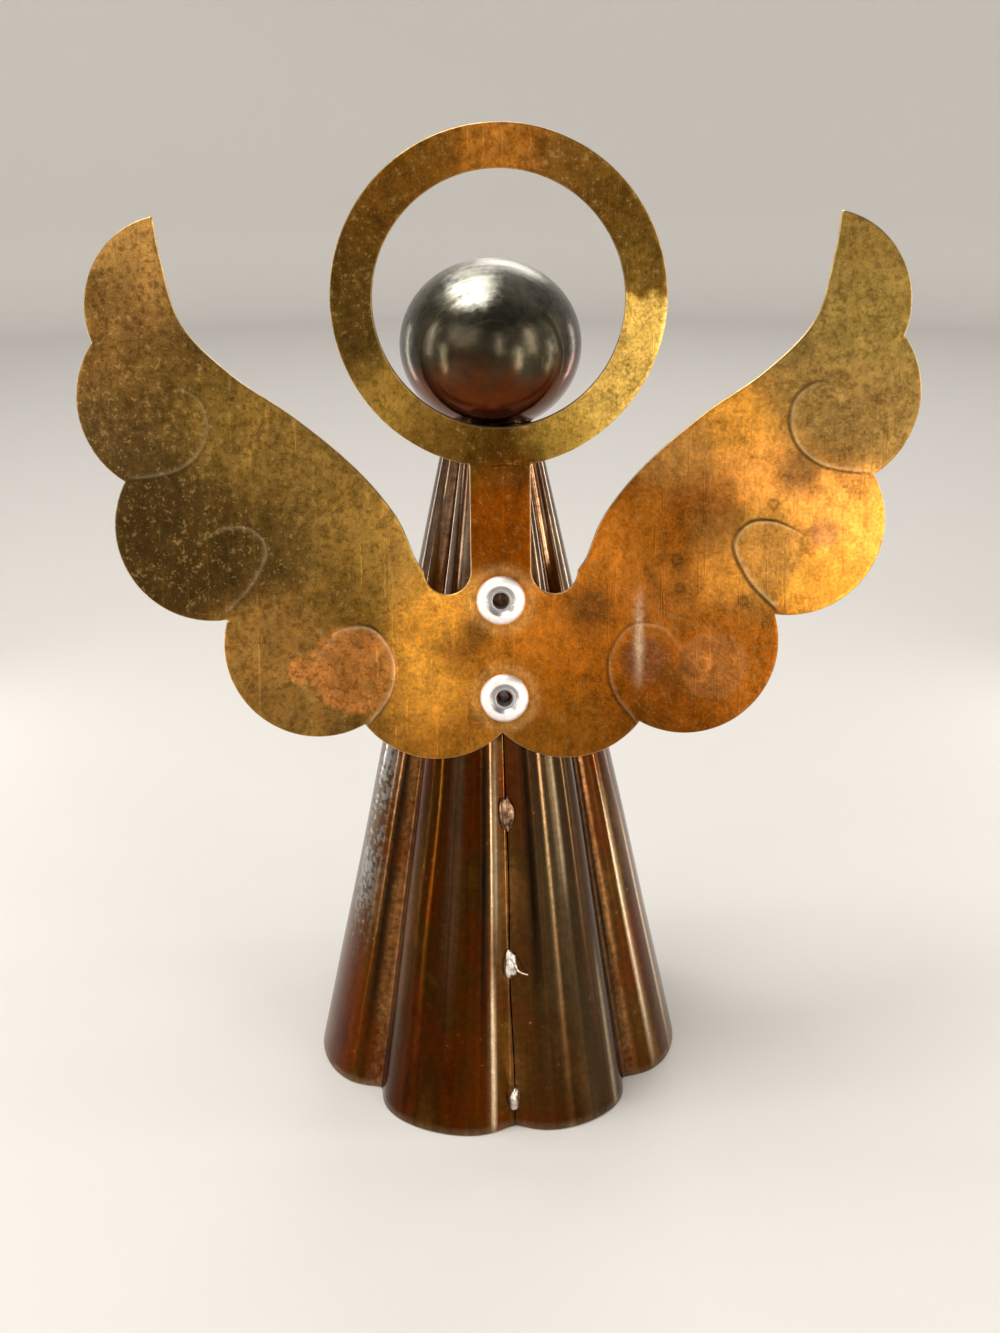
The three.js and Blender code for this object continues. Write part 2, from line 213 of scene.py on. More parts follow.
CENTRE_RADIUS = 0.001
TABLE_RADIUS = 0.75
COVE_RADIUS = 0.06
WALL_HEIGHT = 0.55
around = np.linspace(0, 2 * np.pi, 96, endpoint=False)
cove = np.linspace(0, np.pi / 2, 12)
stage_radius = np.r_[CENTRE_RADIUS, TABLE_RADIUS - COVE_RADIUS + COVE_RADIUS * np.sin(cove), TABLE_RADIUS]
stage_height = np.r_[0, COVE_RADIUS * (1 - np.cos(cove)), WALL_HEIGHT]
stage_points = np.stack(
    [
        stage_radius[:, None] * np.cos(around),
        stage_radius[:, None] * np.sin(around),
        stage_height[:, None] + 0 * around,
    ],
    -1,
)
pale, wire, sockets = new_finish("pale_table")
feed(sockets, Base_Color=(0.64, 0.628, 0.615, 1), Roughness=0.55 + 0.1 * wire.points().noise(30.0))
stage_faces = [*grid_faces(len(stage_radius), len(around), False, True), list(range(len(around)))]
studio = new_mesh("studio_table_and_wall", stage_points, stage_faces, pale)

# Place, width, height, power and colour of the lights that aim at the bell, in metres and watts.
LIGHTS = {
    "overhead_softbox": ((-0.2, 0.0, 0.62), 0.34, 0.34, 3.1, (1, 0.97, 0.92)),
    "left_fill": ((-0.42, -0.56, 0.34), 0.5, 0.46, 1.4, (1, 0.93, 0.83)),
    "right_fill": ((0.55, -0.42, 0.26), 0.14, 0.4, 0.9, (1, 0.9, 0.76)),
    "left_strip": ((-0.66, -0.1, 0.22), 0.04, 0.42, 0.7, (1, 0.96, 0.9)),
    "right_strip": ((0.64, 0.02, 0.22), 0.04, 0.42, 0.7, (1, 0.94, 0.86)),
    "camera_strip": ((0.13, -0.68, 0.26), 0.03, 0.3, 0.35, (1, 0.95, 0.86)),
    "back_softbox": ((0.1, 0.55, 0.42), 0.3, 0.2, 0.7, (1, 0.98, 0.95)),
}
AIM = Vector((0, 0, 0.06))
# Turn round the bell from its back, distance, width and power of the low strips.
LOW_STRIPS = [
    (-125, 0.2, 0.01, 0.05),
    (-60, 0.22, 0.01, 0.07),
    (34, 0.26, 0.014, 0.12),
    (78, 0.22, 0.01, 0.06),
    (125, 0.2, 0.01, 0.05),
]
STRIP_HEIGHT = 0.13
STRIP_Z = 0.068
STRIP_COLOUR = (1, 0.95, 0.87)


def area_light(name, place, width, height, power, colour):
    """A rectangular light at a place, not yet turned."""
    lamp = bpy.data.lights.new(name, "AREA")
    lamp.shape = "RECTANGLE"
    lamp.size = width
    lamp.size_y = height
    lamp.energy = power
    lamp.color = colour
    light = bpy.data.objects.new(name, lamp)
    light.location = place
    bpy.context.scene.collection.objects.link(light)
    return light


for name, (place, *rest) in LIGHTS.items():
    light = area_light(name, place, *rest)
    light.rotation_euler = (AIM - Vector(place)).to_track_quat("-Z", "Y").to_euler()
for k, (degrees, distance, width, power) in enumerate(LOW_STRIPS):
    turn = math.radians(degrees)
    place = (distance * math.sin(turn), -distance * math.cos(turn), STRIP_Z)
    light = area_light(f"low_strip_{k}", place, width, STRIP_HEIGHT, power, STRIP_COLOUR)
    light.rotation_euler = (math.pi / 2, 0, turn)
    light.visible_camera = False

world = bpy.data.worlds.new("soft_room")
world.use_nodes = True
bpy.context.scene.world = world
sky = world.node_tree.nodes["Background"]
sky.inputs["Color"].default_value = (1, 0.95, 0.88, 1)
sky.inputs["Strength"].default_value = 0.22

# ---- Skirt ---------------------------------------------------------------------------------------
# The bell itself, and the angel's skirt: thin sheet brass rolled into a fluted cone whose edges
# meet in the seam fold at the back. Polished once, it has gone dark brown and grey.
RIM_RADIUS = 27.44
TAPER = 0.227
SKIRT_HEIGHT = 94.1
SKIRT_WALL = 0.6
SEAM_AZIMUTH = math.radians(5.3)
SEAM_SLIT = 0.2
WIDE_FLUTES = 6
WIDE_PITCH = math.radians(52.25)
FOLD_DEPTH = 0.146
FOLD_SPREAD = math.radians(7)
FOLD_ROUNDING = math.radians(2.6)
SEAM_DEPTH = 0.098
SEAM_SPREAD = math.radians(6.5)
SEAM_ROUNDING = math.radians(3.5)
FOLD = (FOLD_DEPTH, FOLD_SPREAD, FOLD_ROUNDING)
SEAM = (SEAM_DEPTH, SEAM_SPREAD, SEAM_ROUNDING)
DENT = 0.1
WANDER = 0.006


def on_axis(points):
    """Points in millimetres about the bell's axis, as metres in the frame."""
    return np.asarray(points) * MM + np.array([AXIS_X, 0, 0])


def cone_radius(z):
    """Radius of the flutes' crests, which falls evenly with height."""
    return RIM_RADIUS - TAPER * z


def flute(azimuth):
    """Share of the cone's radius at an azimuth from the seam: one, less a rounded spike per fold."""
    share = np.ones_like(azimuth)
    for k in range(WIDE_FLUTES + 1):
        depth, spread, rounding = FOLD if k else SEAM
        turn = azimuth + k * WIDE_PITCH
        away = turn - 2 * np.pi * np.round(turn / (2 * np.pi))
        share = share - depth * np.exp((rounding - np.hypot(away, rounding)) / spread)
    return share


SEAM_SHARE = float(flute(np.zeros(1))[0])


def skirt_points(whole, z, layer):
    """Points of the rolled sheet. The turn from one seam edge to the other leaves the slit open,
    its edges wander a little, the radius is the cone's times the flute's share plus the layer, and
    slow waves dent it."""
    margin = SEAM_SLIT / 2 / (cone_radius(z) * SEAM_SHARE)
    wander = WANDER * np.sin(0.21 * z) * np.exp(-np.minimum(whole, 2 * np.pi - whole) / 0.05)
    azimuth = SEAM_AZIMUTH + margin + whole * (1 - margin / np.pi) + wander
    dent = DENT * np.sin(3.1 * azimuth + 0.06 * z) * np.sin(0.11 * z + 1.7 * np.cos(2 * azimuth))
    r = cone_radius(z) * flute(azimuth - SEAM_AZIMUTH) + layer + dent * np.sin(np.pi * z / SKIRT_HEIGHT)
    return np.stack([r * np.sin(azimuth), -r * np.cos(azimuth), z + 0 * azimuth], -1)


MEAN_RADIUS = 0.02
FLUTE_COLUMNS = 44
SKIRT_ROWS = 84
EDGE = 0.2
lobe_edges = np.r_[0, 2 * np.pi - WIDE_FLUTES * WIDE_PITCH + WIDE_PITCH * np.arange(WIDE_FLUTES + 1)]
ease = (1 - np.cos(np.pi * np.arange(FLUTE_COLUMNS) / FLUTE_COLUMNS)) / 2
skirt_turn = np.r_[(lobe_edges[:-1, None] + np.diff(lobe_edges)[:, None] * ease).ravel(), 2 * np.pi]
side = np.linspace(EDGE, SKIRT_HEIGHT - EDGE, SKIRT_ROWS)
corner = np.array([0.0, 0.3, 0.7]) * EDGE
skirt_z = np.r_[corner, side, SKIRT_HEIGHT - corner[::-1]]
skirt_layer = np.r_[corner - EDGE, 0 * side, corner[::-1] - EDGE]
loop_z = np.r_[skirt_z, skirt_z[::-1]]
loop_layer = np.r_[skirt_layer, -SKIRT_WALL - skirt_layer[::-1]]
points = skirt_points(skirt_turn[:, None], loop_z[None, :], loop_layer[None, :])
rows, columns = points.shape[:2]
faces = grid_faces(rows, columns, False, True)
# The sheet's two ends, closed from its outer to its inner layer.
k = np.arange(columns // 2 - 1)
cap = np.stack([k, k + 1, columns - 2 - k, columns - 1 - k], -1)
faces += cap.tolist() + (cap[:, ::-1] + (rows - 1) * columns).tolist()

tarnish, wire, sockets = new_finish("dark_skirt_brass")
place = wire.points()
run = wire.node("UVMap", {"uv_map": "rolled"})
fold, polish, heat, soot, bloom, grey, dark, rubbed = (
    wire.mark(name) for name in ("fold", "polish", "heat", "soot", "bloom", "grey", "dark", "rubbed")
)
cloud = place.stretched((0, 0, 0), (1.0, 1.0, 0.4)).noise(110.0, 5.0, 0.6, 0.4)
streak = run.stretched((0, 0, 0), (240.0, 4.0, 1.0)).noise(1.0, 5.0, 0.6)
fine_streak = run.stretched((0, 0, 0.03), (1500.0, 12.0, 1.0)).noise(1.0, 3.0, 0.6)
speck = place.noise(1300.0, 3.0, 0.6)
scratch = run.stretched((0, 0, 0.5), (90.0, 1600.0, 1.0)).noise(1.0, 2.0, 0.5).rising(0.66, 0.7)
scratch = scratch + run.stretched((0, 0, -0.35), (1900.0, 60.0, 1.0)).noise(1.0, 2.0, 0.5).rising(0.66, 0.7)
brown = (0.5 + 0.9 * (cloud - 0.5) + 0.3 * (streak - 0.5)).ramp(
    [(0.28, (0.03, 0.007, 0.0005)), (0.44, (0.12, 0.024, 0.001)), (0.54, (0.075, 0.027, 0.002)),
     (0.7, (0.2, 0.075, 0.011))]
)
silvery = (0.5 + 1.2 * (streak - 0.5) + 0.9 * (cloud - 0.5)).ramp(
    [(0.35, (0.04, 0.024, 0.015)), (0.5, (0.11, 0.072, 0.047)), (0.68, (0.3, 0.22, 0.15))]
)
copper = (speck * 0.5 + cloud * 0.5).ramp([(0.4, (0.07, 0.03, 0.012)), (0.62, (0.5, 0.22, 0.08))])
colour = brown.toward((0.1, 0.058, 0.024, 1), grey * (0.35 + 0.8 * cloud))
colour = colour.toward(silvery, place.part(2).rising(0.056, 0.08) * 0.85)
# Painted highlights: pale grey-olive upright bands stand in for reflections down the flutes.
colour = colour.toward((0.26, 0.21, 0.11, 1), polish * (0.1 + 0.9 * (fine_streak - 0.25)))
colour = colour.toward(copper, (fold + 0.7 * cloud).rising(0.95, 1.25) * 0.35)
colour = colour.toward(copper, (heat + 1.2 * (cloud - 0.5)).rising(0.35, 0.6))
colour = colour.toward(copper, speck.rising(0.7, 0.76) * 0.7)
# Painted shade: near-black upright bands beside the seam and two folds, where the valleys look dark.
colour = colour.toward((0.012, 0.007, 0.004, 1), soot * (0.4 + cloud))
colour = colour.toward((0.34, 0.35, 0.37, 1), bloom * (0.5 * speck + 0.5 * cloud).rising(0.49, 0.54))
# Pale abraded rims, and thin upright lines painted on as highlights down the flute crests.
colour = colour.toward((0.95, 0.72, 0.45, 1), rubbed * (0.3 + 0.9 * fine_streak))
feed(
    sockets,
    Metallic=1.0,
    Anisotropic=0.95,
    Anisotropic_Rotation=0.25,
    # The two lobes beside the seam are darkened here as painted shade.
    Base_Color=colour.brighter((1 + 0.8 * (fine_streak - 0.5) + 1.0 * (speck - 0.5)) * (1 - 0.58 * dark)),
    Roughness=0.13 + 0.12 * cloud + 0.06 * scratch + 0.1 * heat,
    Normal=(0.35 * streak + 0.15 * fine_streak + 2.5 * heat * cloud).bump(0.08, 0.0004),
)
skirt = new_mesh("skirt", on_axis(points), faces, tarnish, 50)
turn, z = np.broadcast_arrays(skirt_turn[:, None], loop_z[None, :])


def carry(made, name, values):
    """Stores one number per vertex of a piece under a name, for its finish to read."""
    numbers = made.data.attributes.new(name, "FLOAT", "POINT").data
    numbers.foreach_set("value", np.asarray(values, np.float32).ravel())


def lay_map(made, name, across, up):
    """A UV map whose two numbers come from each face corner's vertex."""
    corners = np.zeros(len(made.data.loops), int)
    made.data.loops.foreach_get("vertex_index", corners)
    places = np.stack([across[corners], up[corners]], -1)
    made.data.uv_layers.new(name=name).data.foreach_set("uv", places.astype(np.float32).ravel())


def bands(places):
    """Sum of soft upright bands: each a bell curve across the turn from the seam, in radians, and a
    flat-topped one over the height, in millimetres."""
    total = 0 * z
    for turn0, width, z0, reach in places:
        gap = np.abs(turn - turn0 % (2 * np.pi))
        away = np.minimum(gap, 2 * np.pi - gap)
        total = total + np.exp(-((away / width) ** 2) - ((z - z0) / reach) ** 4)
    return np.minimum(total, 1)


skirt_marks = {
    "fold": (1 - flute(turn)) / FOLD_DEPTH,
    # Bands of painted highlight, in place of reflections on the flutes.
    "polish": bands([(0.36, 0.13, 42, 22), (-0.11, 0.05, 44, 20), (-0.4, 0.05, 44, 24), (0.75, 0.03, 30, 22),
                     (-1.25, 0.06, 44, 22), (1.3, 0.05, 20, 20), (0.45, 0.04, 8, 14), (2.4, 0.2, 50, 30),
                     (3.6, 0.2, 40, 30), (4.6, 0.15, 55, 30)]),
    "heat": bands([(-0.1, 0.05, 27, 8), (0.2, 0.06, 25, 10), (-0.8, 0.05, 34, 22), (0.05, 0.05, 36, 26),
                   (0.02, 0.04, 10, 8), (-0.035, 0.04, 26, 34), (0.035, 0.04, 22, 34)]),
    # Bands of painted shade on the flanks of the seam and two folds.
    "soot": bands([(0.17, 0.035, 40, 22), (-0.18, 0.035, 36, 22), (-1.02, 0.03, 40, 40),
                   (0.84, 0.03, 40, 40)]),
    "bloom": 0.9 * bands([(-1.28, 0.12, 42, 18)]),
    "grey": bands([(0.5, 0.4, 40, 40), (-1.3, 0.2, 44, 22), (3.2, 0.5, 40, 34)]),
    # Where the base colour is darkened as painted shade, over the lobes beside the seam.
    "dark": bands([(-0.5, 0.32, 30, 44), (0.42, 0.3, 26, 44)]),
    # Pale abraded rims, and thin upright bands of painted highlight.
    "rubbed": np.maximum(
        0.45 * np.exp(-np.minimum(z, SKIRT_HEIGHT - z) / 0.22),
        bands([(0.6, 0.016, 9, 13), (-0.115, 0.012, 10, 12), (1.0, 0.014, 22, 20), (1.2, 0.012, 20, 18),
               (-0.1, 0.01, 40, 12), (0.4, 0.02, 44, 10), (2.9, 0.02, 30, 20), (4.2, 0.02, 40, 24)]),
    ),
}
for name, values in skirt_marks.items():
    carry(skirt, name, values)
lay_map(skirt, "rolled", np.repeat(skirt_turn * MEAN_RADIUS, columns), np.tile(loop_z * MM, rows))
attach(skirt, "bell")
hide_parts("bell_skirt")

# ---- Solder tacks ----------------------------------------------------------------------------------
# Three drops of solder that hold the seam shut: a rough brown one under the wings, a bright spatter
# half way down, and a small bead at the rim. Each one was run in with an iron and left as it set.
# Height on the skirt, half sizes across, out and up, how lumpy it is, and the seed of its lumps.
TACKS = {
    "upper": (44.6, (1.0, 1.0, 2.3), 0.30, 3),
    "middle": (23.4, (0.95, 1.0, 1.9), 0.36, 11),
    "lower": (4.1, (0.9, 1.0, 1.7), 0.30, 7),
}
TAIL = [(-0.2, -0.7, 1.4), (0.5, -1.15, 0.6), (0.9, -1.2, -0.3), (1.7, -1.05, -0.8), (2.3, -0.95, -1.0)]
TAIL_RADIUS = 0.13
DROP_ROWS = 32
DROP_COLUMNS = 48
seam_slope = math.atan(TAPER * SEAM_SHARE)


def lumpy_drop(sizes, lump, seed):
    """A ball scaled to three half sizes, its radius changed by six random waves over its surface."""
    draw = np.random.default_rng(seed)
    up = np.linspace(-np.pi / 2, np.pi / 2, DROP_ROWS + 2)[1:-1, None]
    turn = np.linspace(0, 2 * np.pi, DROP_COLUMNS, endpoint=False)[None, :]
    ball = np.stack([np.cos(up) * np.cos(turn), np.cos(up) * np.sin(turn), np.sin(up) + 0 * turn], -1)
    poles = np.array([[0, 0, -1.0], [0, 0, 1.0]])
    ball = np.concatenate([ball.reshape(-1, 3), poles])
    waves = draw.normal(0, 3.2, (6, 3))
    shift = draw.uniform(0, 2 * np.pi, 6)
    bump = np.sin(ball @ waves.T + shift).sum(1) / 6
    return ball * (1 + lump * bump)[:, None] * np.array(sizes)


def ball_faces(rows, columns):
    """A grid's faces closed round, with a fan of three-cornered faces on each pole."""
    j = np.arange(columns)
    across = (j + 1) % columns
    last = (rows - 1) * columns
    south = np.stack([j, across, 0 * j + rows * columns][::-1], -1)
    north = np.stack([last + j, last + across, 0 * j + rows * columns + 1], -1)
    grid = np.array(grid_faces(rows, columns, False, True))[:, ::-1]
    return grid.tolist() + south.tolist() + north.tolist()


def smooth_line(through, step):
    """A curve through the given points whose slope at each is half the way between its neighbours."""
    p = np.array(through, float)
    p = np.concatenate([[2 * p[0] - p[1]], p, [2 * p[-1] - p[-2]]])
    parts = []
    for a, b, c, d in zip(p, p[1:], p[2:], p[3:]):
        count = max(2, math.ceil(np.linalg.norm(c - b) / step))
        u = (np.arange(count) / count)[:, None]
        parts.append(b + 0.5 * u * (c - a + u * (2 * a - 5 * b + 4 * c - d + u * (3 * (b - c) + d - a))))
    return np.concatenate([*parts, p[-2:-1]])


def shifted(faces, first):
    """Faces of a part whose vertices come after others in the same mesh."""
    return [[k + first for k in face] for face in faces]


END_RINGS = 5
END_SIZE = 0.55


def tube(path, radius, closed=False, sides=20):
    """A round wire along a path: at each point a circle in the plane square to the path, spanned by
    the bend's own binormal and what is square to it. Open ends are rounded off."""
    path = np.asarray(path, float)
    along = np.roll(path, -1, 0) - np.roll(path, 1, 0) if closed else np.gradient(path, axis=0)
    along /= np.linalg.norm(along, axis=1)[:, None]
    flat_normal = np.linalg.svd(path - path.mean(0))[2][2]
    across = np.cross(along, flat_normal)
    across /= np.linalg.norm(across, axis=1)[:, None]
    size = np.full(len(path), float(radius))
    if not closed:
        ends = np.linspace(0, np.pi / 2, END_RINGS + 1)[:END_RINGS]
        cap = (radius * 0.5 * (1 - np.cos(ends)))[:, None]
        start, end = path[:1] + along[:1] * cap, path[-1:] - along[-1:] * cap[::-1]
        path = np.concatenate([start, path[1:-1], end])
        last = len(along) - 1
        repeat = np.r_[np.zeros(END_RINGS, int), np.arange(1, last), np.full(END_RINGS, last)]
        along, across, size = along[repeat], across[repeat], size[repeat]
        size[:END_RINGS] *= END_SIZE + (1 - END_SIZE) * np.sin(ends)
        size[-END_RINGS:] *= END_SIZE + (1 - END_SIZE) * np.sin(ends[::-1])
    turn = np.linspace(0, 2 * np.pi, sides, endpoint=False)
    up = np.cross(across, along)
    ring = across[:, None] * np.cos(turn)[None, :, None] + up[:, None] * np.sin(turn)[None, :, None]
    points = path[:, None] + size[:, None, None] * ring
    faces = grid_faces(len(path), sides, closed, True)
    if not closed:
        one_end = list(range(sides))
        faces += [one_end, *shifted([one_end[::-1]], (len(path) - 1) * sides)]
    return points.reshape(-1, 3), faces


solder, wire, sockets = new_finish("seam_solder")
place = wire.points()
grain = place.noise(900.0, 4.0, 0.6)
bright = grain.ramp([(0.35, (0.3, 0.22, 0.15)), (0.6, (0.85, 0.8, 0.72))])
burnt = grain.ramp([(0.35, (0.09, 0.04, 0.02)), (0.65, (0.5, 0.32, 0.2))])
feed(
    sockets,
    Metallic=1.0,
    Base_Color=bright.toward(burnt, place.part(2).rising(0.03, 0.04)),
    Roughness=0.2 + 0.35 * grain,
    Normal=place.noise(1800.0, 3.0).bump(0.5, 0.0002),
)
lean = Matrix.Rotation(SEAM_AZIMUTH, 3, "Z") @ Matrix.Rotation(-seam_slope, 3, "X")
for name, (z, sizes, lump, seed) in TACKS.items():
    drop = lumpy_drop(sizes, lump, seed)
    seam_radius = cone_radius(z) * SEAM_SHARE
    spot = np.array([seam_radius * math.sin(SEAM_AZIMUTH), -seam_radius * math.cos(SEAM_AZIMUTH), z])
    faces = ball_faces(DROP_ROWS, DROP_COLUMNS)
    if name == "middle":
        tail, tail_faces = tube(smooth_line(TAIL, 0.15), TAIL_RADIUS, sides=10)
        faces += shifted(tail_faces, len(drop))
        drop = np.concatenate([drop, tail])
    tack = new_mesh(f"tack_{name}", on_axis(drop @ np.array(lean).T + spot), faces, solder, 180)
    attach(tack, "bell")
    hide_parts(f"solder_tack_{name}")

# ---- Wings and halo --------------------------------------------------------------------------------
# One flat cut-out of sheet brass: two wings of round stamped feathers, a neck, and a ring bent
# upright to stand behind the head. It leans on the skirt's flutes; its tarnish is patchy, with
# painted reflection and painted shade mixed into its colour.
# Places on the sheet are its own across and up-the-slope lengths, from the middle of the fold line.
SHEET = 0.8
SHEET_EDGE = 0.2
LEAN = math.radians(12.46)
BEND_RADIUS = 0.9
FEATHER_RADIUS = 12
FEATHERS = [(8.45, -26.15), (24, -23), (37.3, -7.55), (41.3, 8.6)]
TIP = (40.3, 19.8)
TIP_RADIUS = 11.4
TIP_POINT = (42.6, 30.9)
UPPER_EDGE = [TIP_POINT, (41.8, 25.6), (39.6, 17.8), (33.6, 11.6), (25.9, 6.3), (18.5, 0), (13.4, -6.2),
              (10.9, -12)]
CUT_RADIUS = 3
CUT_CENTRE = -13.4
NECK_HALF = 3.9
HALO_INNER = 15.43
HALO_OUTER = 20.6
HALO_CENTRE = 20.53
RIVET_SPOTS = {"upper": (-0.05, -17.2), "lower": (0.3, -30)}
RIVET_HOLE = 1.75
OUTLINE_STEP = 0.4
GRID_STEP = 0.42
RIM_ROWS = np.array([0.04, 0.11, 0.2])
CREASE_ROWS = np.array([-0.45, -0.3, -0.15, 0, 0.15, 0.3, 0.45])
FOLD_ROWS = np.array([-0.5, 0, 0.5, 1, 1.6])
RIM_CLEAR = 0.42
CREASE_CLEAR = 0.65
CURL_HEIGHT = 0.26
CURL_STRENGTHS = [0.35, 1.0, 0.8, 0.5, 0.65, 0.5]
CURL_EDGE = 0.07
CURL_REACH = 3.2
CURLS = [
    [(17.7, -34), (14.4, -29.4), (13.9, -24.6), (16.6, -20.6), (20.9, -20.7), (23.3, -23.5), (25.3, -25.5)],
    [(35.9, -19.2), (31.9, -15.1), (29.8, -10.5), (31.6, -7.6), (34.6, -7.2), (37.4, -8.2), (40.4, -10.1)],
    [(47.6, -1.4), (44.2, -1.2), (40.6, -0.3), (37.8, 2), (36.6, 5.2), (37.5, 8.5), (40.2, 10.2),
     (42.6, 9.6)],
]


def notch(a, ra, b, rb):
    """Where two circles cross, on the side away from the wing's middle: along the line between
    their centres by (d^2 + ra^2 - rb^2) / 2d, then off it by Pythagoras."""
    a, b = np.array(a, float), np.array(b, float)
    d = np.hypot(*(b - a))
    along = (d * d + ra * ra - rb * rb) / (2 * d)
    off = math.sqrt(ra * ra - along * along)
    unit = (b - a) / d
    return a + along * unit + off * np.array([unit[1], -unit[0]])


def arc(centre, radius, start, end, step=OUTLINE_STEP):
    """Points of a circle's arc from one angle to another, a step apart, without the last one."""
    count = max(2, math.ceil(abs(end - start) * radius / step))
    angle = start + (end - start) * np.arange(count) / count
    return np.stack([centre[0] + radius * np.cos(angle), centre[1] + radius * np.sin(angle)], -1)


def wing_side():
    """The right wing's edge from the foot of the middle line to the neck's side at the ring."""
    circles = [(centre, FEATHER_RADIUS) for centre in FEATHERS] + [(TIP, TIP_RADIUS)]
    foot = FEATHERS[0][1] - math.sqrt(FEATHER_RADIUS**2 - FEATHERS[0][0] ** 2)
    joints = [(0, foot)] + [notch(*a, *b) for a, b in zip(circles, circles[1:])] + [TIP_POINT]
    parts = []
    for (centre, radius), start, end in zip(circles, joints, joints[1:]):
        begin = math.atan2(start[1] - centre[1], start[0] - centre[0])
        finish = math.atan2(end[1] - centre[1], end[0] - centre[0])
        parts.append(arc(centre, radius, begin, finish + 2 * math.pi * (finish < begin)))
    parts.append(smooth_line(UPPER_EDGE, OUTLINE_STEP)[:-1])
    cut = (NECK_HALF + CUT_RADIUS, CUT_CENTRE)
    parts.append(smooth_line([UPPER_EDGE[-1], (cut[0] + CUT_RADIUS, CUT_CENTRE)], OUTLINE_STEP)[1:-1])
    parts.append(arc(cut, CUT_RADIUS, 0, -math.pi))
    top = HALO_CENTRE - math.sqrt(HALO_OUTER**2 - NECK_HALF**2)
    parts.append(smooth_line([(NECK_HALF, CUT_CENTRE), (NECK_HALF, top)], OUTLINE_STEP)[:-1])
    return np.concatenate(parts)


def nearest(points, line, closed=False):
    """For each point: its distance to a line of points, which one is nearest, and on which side of
    the line it lies, plus for the left, from the sign of the cross product there."""
    ahead = np.roll(line, -1, 0) if closed else np.vstack([line[1:], 2 * line[-1] - line[-2]])
    along = ahead - line
    length = np.maximum((along**2).sum(-1), 1e-12)
    distance, index, turn = [], [], []
    for some in np.array_split(points, max(1, len(points) // 4000)):
        away = some[:, None, :] - line[None]
        share = np.clip((away * along).sum(-1) / length, 0, 1)
        off = away - share[..., None] * along
        gap = np.hypot(off[..., 0], off[..., 1])
        best = gap.argmin(1)
        row = np.arange(len(some))
        distance.append(gap[row, best])
        index.append(best)
        turn.append(np.sign(along[best, 0] * away[row, best, 1] - along[best, 1] * away[row, best, 0]))
    return np.concatenate(distance), np.concatenate(index), np.concatenate(turn)


def inside(points, outlines):
    """True where a line to the right of a point crosses the outlines an odd number of times."""
    odd = np.zeros(len(points), bool)
    for line in outlines:
        x0, y0 = line.T
        x1, y1 = np.roll(line, -1, 0).T
        for part in np.array_split(np.arange(len(points)), max(1, len(points) // 8000)):
            px, py = points[part].T[:, :, None]
            across = ((y0 > py) != (y1 > py)) & (px < (x1 - x0) * (py - y0) / (y1 - y0 + 1e-15) + x0)
            odd[part] ^= (across.sum(1) % 2).astype(bool)
    return odd


half = wing_side()
neck_angle = math.asin(NECK_HALF / HALO_OUTER)
ring_outer = arc((0, HALO_CENTRE), HALO_OUTER, neck_angle - math.pi / 2, 1.5 * math.pi - neck_angle)
mirrored = half[1:][::-1] * [-1, 1]
outline = np.concatenate([half, ring_outer, ring_outer[:1] * [-1, 1], mirrored])
ring_inner = arc((0, HALO_CENTRE), HALO_INNER, 0, 2 * math.pi)
outlines = [outline, ring_inner]
outlines += [arc(spot, RIVET_HOLE, 0, 2 * math.pi, 0.25) for spot in RIVET_SPOTS.values()]
curls = [smooth_line(curl, 0.3) * [side, 1] for curl in CURLS for side in (1, -1)]


def offset_rows(line, distances, closed):
    """Copies of a line moved sideways, along the normal between its neighbours, by each distance."""
    before, after = (np.roll(line, 1, 0), np.roll(line, -1, 0)) if closed else (line[:-2], line[2:])
    middle = line if closed else line[1:-1]
    along = after - before
    normal = np.stack([-along[:, 1], along[:, 0]], -1) / np.hypot(*along.T)[:, None]
    return np.concatenate([middle + d * normal for d in distances])


low, high = outline.min(0), outline.max(0)
s, t = np.meshgrid(np.arange(low[0], high[0], GRID_STEP), np.arange(low[1], high[1], GRID_STEP * 0.866))
s = s + GRID_STEP / 2 * (np.arange(len(s)) % 2)[:, None]
scatter = np.stack([s.ravel(), t.ravel()], -1)
rims = np.concatenate([offset_rows(line, [*RIM_ROWS, *-RIM_ROWS], True) for line in outlines])
creases = np.concatenate([offset_rows(line, CREASE_ROWS, False) for line in curls])
across = np.linspace(-NECK_HALF - 0.4, NECK_HALF + 0.4, 30)
folds = np.stack(np.meshgrid(across, BEND_RADIUS * LEAN * FOLD_ROWS), -1).reshape(-1, 2)
everything = np.concatenate([rims, creases, folds, scatter])
is_scatter = np.arange(len(everything)) >= len(everything) - len(scatter)
keep = inside(everything, outlines)
everything, is_scatter = everything[keep], is_scatter[keep]
edge_gap = np.min([nearest(everything, line, True)[0] for line in outlines], 0)
curl_gap = np.min([nearest(everything, line)[0] for line in curls], 0)
keep = (edge_gap > 0.035) & ~(is_scatter & ((edge_gap < RIM_CLEAR) | (curl_gap < CREASE_CLEAR)))
flat = np.concatenate([*outlines, everything[keep]])
edges = []
first = 0
for line in outlines:
    ring = first + np.arange(len(line))
    edges += np.stack([ring, np.roll(ring, -1)], -1).tolist()
    first += len(line)
flat, _, triangles, *_ = delaunay_2d_cdt([Vector(p) for p in flat.tolist()], edges, [], 0, 1e-5)
flat, triangles = np.array([p[:] for p in flat]), np.array(triangles)
triangles = triangles[inside(flat[triangles].mean(1), outlines)]
used, triangles = np.unique(triangles, return_inverse=True)
flat, triangles = flat[used], triangles.reshape(-1, 3)
a, b, c = flat[triangles[:, 0]], flat[triangles[:, 1]], flat[triangles[:, 2]]
turned_over = (b[:, 0] - a[:, 0]) * (c[:, 1] - a[:, 1]) < (b[:, 1] - a[:, 1]) * (c[:, 0] - a[:, 0])
triangles[turned_over] = triangles[turned_over][:, ::-1]

